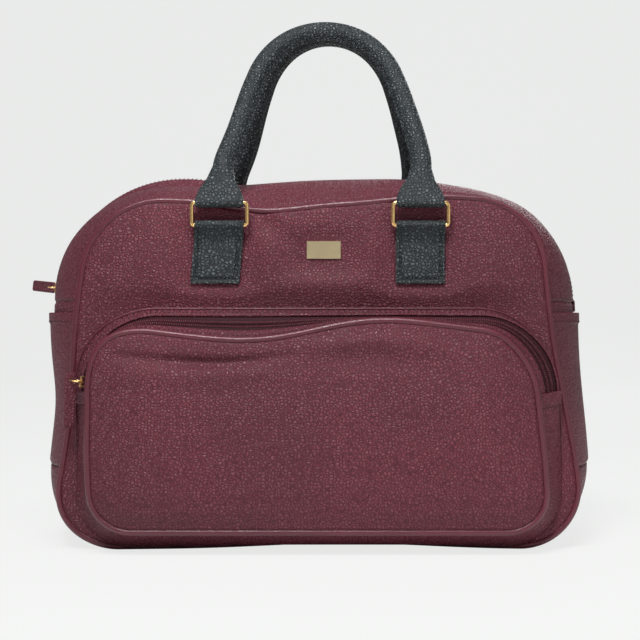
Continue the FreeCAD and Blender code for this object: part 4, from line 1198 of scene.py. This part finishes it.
class DOCTORBAG_OT_handles(bpy.types.Operator):
    """Make the two rolled handles with their flared ends and stitched seams"""
    bl_idname = "doctor_bag.handles"
    bl_label = "Handles"

    def execute(self, context):
        line = handle_line()
        steps = np.hypot(*np.diff(line, axis=0).T)
        run = np.concatenate([[0], np.cumsum(steps)]) - 4.0
        total = run[-1] - 4.0
        reach = np.minimum(run, total - run)
        flare = np.array(FLARE)
        width, thick, square = (np.interp(reach, flare[:, 0], flare[:, k]) for k in (1, 2, 3))
        turns = np.linspace(0, 2 * math.pi, 56, endpoint=False)
        cosine, sine = np.cos(turns), np.sin(turns)
        power = 2 / square[:, None]
        side = np.sign(cosine) * np.abs(cosine) ** power * width[:, None] / 2
        through = np.sign(sine) * np.abs(sine) ** power * thick[:, None] / 2
        # the seam stands up along the inner side of the bend
        ridge = 1.4 * smooth(reach, 22, 38)
        side = side + ridge[:, None] * np.exp(-(np.angle(np.exp(1j * turns)) / 0.19) ** 2)
        section = np.stack([side, through], -1)
        sizes = context.scene.doctor_bag_sizes
        stitch, thread = sizes.stitch / MM, sizes.thread / MM
        sewn = reach > 30
        for name, sign in SIDES:
            place = HandleFrame(sign)
            up = line[:, 1]
            across = line[:, 0] * (1 - 0.045 * smooth(up, 100, 150)) + handle_sway(sign, up)
            path = place.place(across, up)
            piece = tube(name + "_handle_leather", path, place.through, section)
            finer = piece.modifiers.new("Finer", "SUBSURF")
            finer.levels = finer.render_levels = 1
            dress(piece, "black_leather", name + "_handle", (name + "_handle",))
            inner = slice(34, -34)
            core = tube(name + "_handle_core_cord", path[inner], place.through, circle(3.6, 12))
            dress(core, "handle_cord", name + "_handle", (name + "_handle_core",))
            along = unit(np.gradient(path, axis=0))
            inward = unit(np.cross(along, place.through))
            rows = []
            for face in (-1, 1):
                beside = path + inward * (width[:, None] / 2 - 0.15) + place.through * face * 2.2
                rows.append((beside[sewn], unit(inward * 0.6 + place.through * face * 0.8)[sewn]))
            row = row_of(name + "_handle_stitches", rows, "black_thread", stitch,
                         (stitch * 0.7, thread * 1.2, thread))
            dress(row, "black_thread", name + "_handle")
        return {"FINISHED"}


def principal(node):
    """A node's middle and its long, middle and short directions with their lengths, in millimetres."""
    points = np.array([v.co for v in frame["nodes"][node].data.vertices]) / MM
    centre = points.mean(0)
    _, _, ways = np.linalg.svd(points - centre, full_matrices=False)
    spans = [(points @ way).max() - (points @ way).min() for way in ways]
    middle = sum(way * ((points @ way).max() + (points @ way).min()) / 2 for way in ways)
    return middle, ways, spans


def strap_with_hole(span, wide, hole, hole_inset):
    """A leather strap with a rounded free end and a hole for its ring, as across, along and through."""
    half = wide / 2
    ring_end = span / 2
    hole_at = ring_end - hole_inset
    split = hole_at - half * 1.2
    across = np.linspace(-half, half, 9)
    rows = []
    for y in np.linspace(-span / 2, split, 16):
        left = half * math.sqrt(1 - (max(0.0, (-span / 2 + half * 0.45 - y) / (half * 0.45))) ** 2 * 0.35)
        rows.append([(x * left / half, y) for x in across])
    points = [p for row in rows for p in row]
    faces = [tuple(f) for f in grid_faces(len(rows), len(across))]
    rim = [(half, y) for y in np.linspace(split, ring_end, 7)[1:]]
    rim += [(x, ring_end) for x in np.linspace(half, -half, 9)[1:]]
    rim += [(-half, y) for y in np.linspace(ring_end, split, 7)[1:-1]]
    rounded = []
    for x, y in rim:
        pull = max(0.0, abs(x) + (y - hole_at) - (half + hole_inset) * 0.86)
        rounded.append((x - math.copysign(pull, x) * 0.5, y - pull * 0.5))
    last = (len(rows) - 1) * len(across)
    border = [last + i for i in range(len(across))] + [len(points) + i for i in range(len(rounded))]
    points += rounded
    inner = []
    for i in border:
        x, y = points[i]
        turn = math.atan2(y - hole_at, x)
        inner.append((hole * math.cos(turn), hole_at + hole * math.sin(turn)))
    start = len(points)
    points += inner
    count = len(border)
    for i in range(count):
        following = (i + 1) % count
        faces.append((border[i], border[following], start + following, start + i))
    return np.array(points), faces


class DOCTORBAG_OT_pull_tabs(bpy.types.Operator):
    """Make the leather straps that hang from both zips' pull rings"""
    bl_idname = "doctor_bag.pull_tabs"
    bl_label = "Pull tabs"

    def execute(self, context):
        sizes = context.scene.doctor_bag_sizes
        stitch, thread = sizes.stitch / MM, sizes.thread / MM
        for zip_name in ("main", "pocket"):
            node = zip_name + "_pull_tab"
            middle, (along, across, through), (span, wide, thick) = principal(node)
            low, high = corner_box(zip_name + "_pull_ring")
            if np.dot((low + high) / 2 - middle, along) < 0:
                along = -along
            through = np.cross(across, along)
            flat, faces = strap_with_hole(span, wide, 1.5, 6.0)
            points = middle + np.multiply.outer(flat[:, 0], across) + np.multiply.outer(flat[:, 1], along)
            points = points + through * thick / 2
            piece = new_mesh(node + "_leather", points, faces)
            if piece.data.polygons[0].normal.dot(Vector(through)) < 0:
                piece.data.flip_normals()
            thicken(piece, thick)
            edge = piece.modifiers.new("Edges", "BEVEL")
            edge.width = 0.7 * MM
            edge.segments = 3
            edge.angle_limit = math.radians(50)
            dress(piece, "burgundy_leather", node, (node,))
            rows = []
            box = boxed(-wide / 2 + 1.7, wide / 2 - 1.7, -span / 2 + 2.2, span / 2 - 12.5, 0)
            for face in (-1, 1):
                path = (middle + np.multiply.outer(box[:, 0], across) + np.multiply.outer(box[:, 2], along)
                        + through * face * thick / 2)
                rows.append((path, through * face))
            row = row_of(node + "_stitches", rows, "burgundy_thread", stitch * 0.8,
                         (stitch * 0.55, thread, thread * 0.8))
            dress(row, "burgundy_thread", node)
        return {"FINISHED"}


class DOCTORBAG_OT_stitches(bpy.types.Operator):
    """Sew the seams beside the zips, above the pocket and along the slip pockets' hems"""
    bl_idname = "doctor_bag.stitches"
    bl_label = "Stitches"

    def execute(self, context):
        sizes = context.scene.doctor_bag_sizes
        _, _, pocket = outlines(sizes)
        stitch, thread = sizes.stitch / MM, sizes.thread / MM
        size = (stitch * 0.72, thread * 1.3, thread)
        beside_zip = []
        for side in (-1, 1):
            grid = band(sizes, from_level(CROWN_SEAM, inset=3), over_to(CROWN_SEAM, 3), 300,
                        (side * (ZIP_SLOT + 2.4), side * (ZIP_SLOT + 2.5)), lambda y, rail, s: 0.55)
            beside_zip.append((settled(grid)[0], unit(settled(grid)[0] - np.array((0, 0, 150)))))
        dress(row_of("main_zip_stitches", beside_zip, "burgundy_thread", stitch, size),
              "burgundy_thread")

        low_end, zip_end = 60, 130
        rail = Rail(pocket_wall_outline(pocket, POCKET_ROOT).grown(0.4))
        s = np.linspace(rail.level(low_end), 2 * rail.length - rail.level(low_end), 420)
        x, z = rail.at(s)
        ridge = settled(np.stack([x, np.full_like(x, -PANEL_FACE - 0.5), z], -1))
        dress(tube("pocket_root_welt", ridge, (0, 1, 0), circle(0.9, 10)),
              "burgundy_piping")
        grid = pocket_wall(pocket, from_level(low_end), over_to(low_end), 420,
                           (POCKET_ROOT + 1.9, POCKET_ROOT + 2.0), lambda y, rail, s: 0.25)
        root = settled(grid)[0]
        line = (root, unit(root - np.array((0, -40, 80))))
        row = row_of("pocket_root_stitches", [line], "burgundy_thread", stitch * 1.3,
                     (stitch * 0.85, thread * 1.8, thread))
        dress(row, "burgundy_thread")

        rows = []
        for depth in (POCKET_LIP - 2.6, -corner_box("pocket_rear_strip")[0][1] - 2.0):
            grid = pocket_wall(pocket, from_level(zip_end), over_to(zip_end), 320,
                               (depth, depth + 0.1), lambda y, rail, s: 0.15)
            path = settled(grid)[0]
            rows.append((path, unit(path - np.array((0, -60, 80)))))
        dress(row_of("pocket_zip_stitches", rows, "burgundy_thread", stitch, size),
              "burgundy_thread")

        for hand, sign in HANDS:
            path = []
            for y in np.linspace(-GUSSET_END + 3, GUSSET_END - 3, 70):
                rail = Rail(bag_edge(sizes, y))
                s = rail.level(SLIP_TOP) - 7.0
                x, z = rail.at(s)
                middle = 1 - (y / GUSSET_END) ** 2
                path.append((sign * (x + 1.7 + 2.2 * middle + 0.9 * middle ** 0.2), y, z))
            row = row_of(hand + "_slip_pocket_stitches", [(settled(np.array(path)), (sign, 0, 0.1))],
                         "burgundy_thread", stitch, size)
            dress(row, "burgundy_thread")
        return {"FINISHED"}


class DOCTORBAG_OT_stage(bpy.types.Operator):
    """Make the floor, the backdrop, the lamps and the camera"""
    bl_idname = "doctor_bag.stage"
    bl_label = "Stage"

    def execute(self, context):
        sizes, colours = context.scene.doctor_bag_sizes, context.scene.doctor_bag_colours
        back, corner, wide, high = 3.2, 0.9, 6.0, 4.0
        line = [(-6.0, 0.0), (back - corner, 0.0)]
        line += [(back - corner + corner * math.sin(a), corner - corner * math.cos(a))
                 for a in np.linspace(0, math.pi / 2, 24)[1:]]
        line.append((back, high))
        points = np.array([[(x, y, z) for y, z in line] for x in (-wide, wide)]) / MM
        sweep = new_mesh("backdrop_sweep", points, grid_faces(2, len(line)), Vector((0, 3, -1)))
        finish = Finish("backdrop")
        camera_ray = finish.node("ShaderNodeLightPath", {}, {}, 0)
        glow = finish.node("ShaderNodeEmission", {}, {"Color": paint(colours.backdrop), "Strength": 1.0})
        matt = finish.node("ShaderNodeBsdfDiffuse", {}, {"Color": paint(colours.backdrop)})
        mixed = finish.node("ShaderNodeMixShader", {}, {0: camera_ray * 0.90, 1: matt, 2: glow})
        output = finish.tree.nodes.new("ShaderNodeOutputMaterial")
        finish.tree.links.new(mixed.socket, output.inputs["Surface"])
        sweep.data.materials.append(finish.material)

        world = bpy.data.worlds.new("studio")
        context.scene.world = world
        world.use_nodes = True
        nodes, links = world.node_tree.nodes, world.node_tree.links
        sky = nodes["Background"]
        sky.inputs["Color"].default_value = paint((0.95, 0.97, 1.0))
        sky.inputs["Strength"].default_value = 0.26
        seen, ray, mixed = (nodes.new(kind) for kind in ("ShaderNodeBackground", "ShaderNodeLightPath",
                                                         "ShaderNodeMixShader"))
        seen.inputs["Color"].default_value = paint(colours.backdrop)
        links.new(ray.outputs["Is Camera Ray"], mixed.inputs[0])
        links.new(sky.outputs[0], mixed.inputs[1])
        links.new(seen.outputs[0], mixed.inputs[2])
        links.new(mixed.outputs[0], nodes["World Output"].inputs["Surface"])

        lamps = (
            ("key", (-0.3, -1.0, 1.6), (0, 0, 0.2), 0.5, 34.0),
            ("fill", (1.5, -1.4, 0.9), (0, 0, 0.15), 1.2, 6.0),
            ("overhead", (0.15, -0.65, 1.35), (0, -0.05, 0.15), 0.3, 7.0),
            ("behind", (0.9, 2.2, 1.4), (0, 0, 0.15), 1.2, 16.0),
        )
        for name, spot, target, size, power in lamps:
            light = bpy.data.lights.new(name, "AREA")
            light.size = size
            light.energy = power
            lamp = bpy.data.objects.new(name, light)
            lamp.location = spot
            lamp.rotation_euler = (Vector(target) - Vector(spot)).to_track_quat("-Z", "Y").to_euler()
            context.scene.collection.objects.link(lamp)

        camera = bpy.data.cameras.new("camera")
        camera.sensor_width = 36
        panel_distance = sizes.camera_distance - PANEL_FACE * MM
        camera.lens = 36 * panel_distance / 0.512
        eye = bpy.data.objects.new("camera", camera)
        eye.location = (0, -sizes.camera_distance, sizes.eye_level)
        eye.rotation_euler = (math.pi / 2, 0, 0)
        context.scene.collection.objects.link(eye)
        context.scene.camera = eye
        context.scene.view_settings.view_transform = "Standard"
        return {"FINISHED"}


class DOCTORBAG_PT_panel(bpy.types.Panel):
    """The doctor bag's sizes, colours and makers"""
    bl_idname = "DOCTORBAG_PT_panel"
    bl_label = "Doctor bag"
    bl_space_type = "VIEW_3D"
    bl_region_type = "UI"
    bl_category = "Doctor bag"

    def draw(self, context):
        for group in (context.scene.doctor_bag_sizes, context.scene.doctor_bag_colours):
            column = self.layout.column(align=True)
            for key in group.__annotations__:
                column.prop(group, key)
        for maker in MAKERS:
            self.layout.operator(maker.bl_idname)


MAKERS = (
    DOCTORBAG_OT_finishes, DOCTORBAG_OT_panels, DOCTORBAG_OT_piping, DOCTORBAG_OT_gussets,
    DOCTORBAG_OT_lining, DOCTORBAG_OT_slip_pockets, DOCTORBAG_OT_front_pocket, DOCTORBAG_OT_zips,
    DOCTORBAG_OT_zip_ends, DOCTORBAG_OT_tabs, DOCTORBAG_OT_handles, DOCTORBAG_OT_pull_tabs,
    DOCTORBAG_OT_stitches, DOCTORBAG_OT_stage,
)
GROUPS = (BagSizes, BagColours)


def register():
    for item in GROUPS + MAKERS + (DOCTORBAG_PT_panel,):
        bpy.utils.register_class(item)
    bpy.types.Scene.doctor_bag_sizes = bpy.props.PointerProperty(type=BagSizes)
    bpy.types.Scene.doctor_bag_colours = bpy.props.PointerProperty(type=BagColours)


def unregister():
    del bpy.types.Scene.doctor_bag_sizes
    del bpy.types.Scene.doctor_bag_colours
    for item in reversed(GROUPS + MAKERS + (DOCTORBAG_PT_panel,)):
        bpy.utils.unregister_class(item)


def main():
    register()
    for maker in MAKERS:
        group, name = maker.bl_idname.split(".")
        getattr(getattr(bpy.ops, group), name)()


if __name__ == "__main__":
    main()
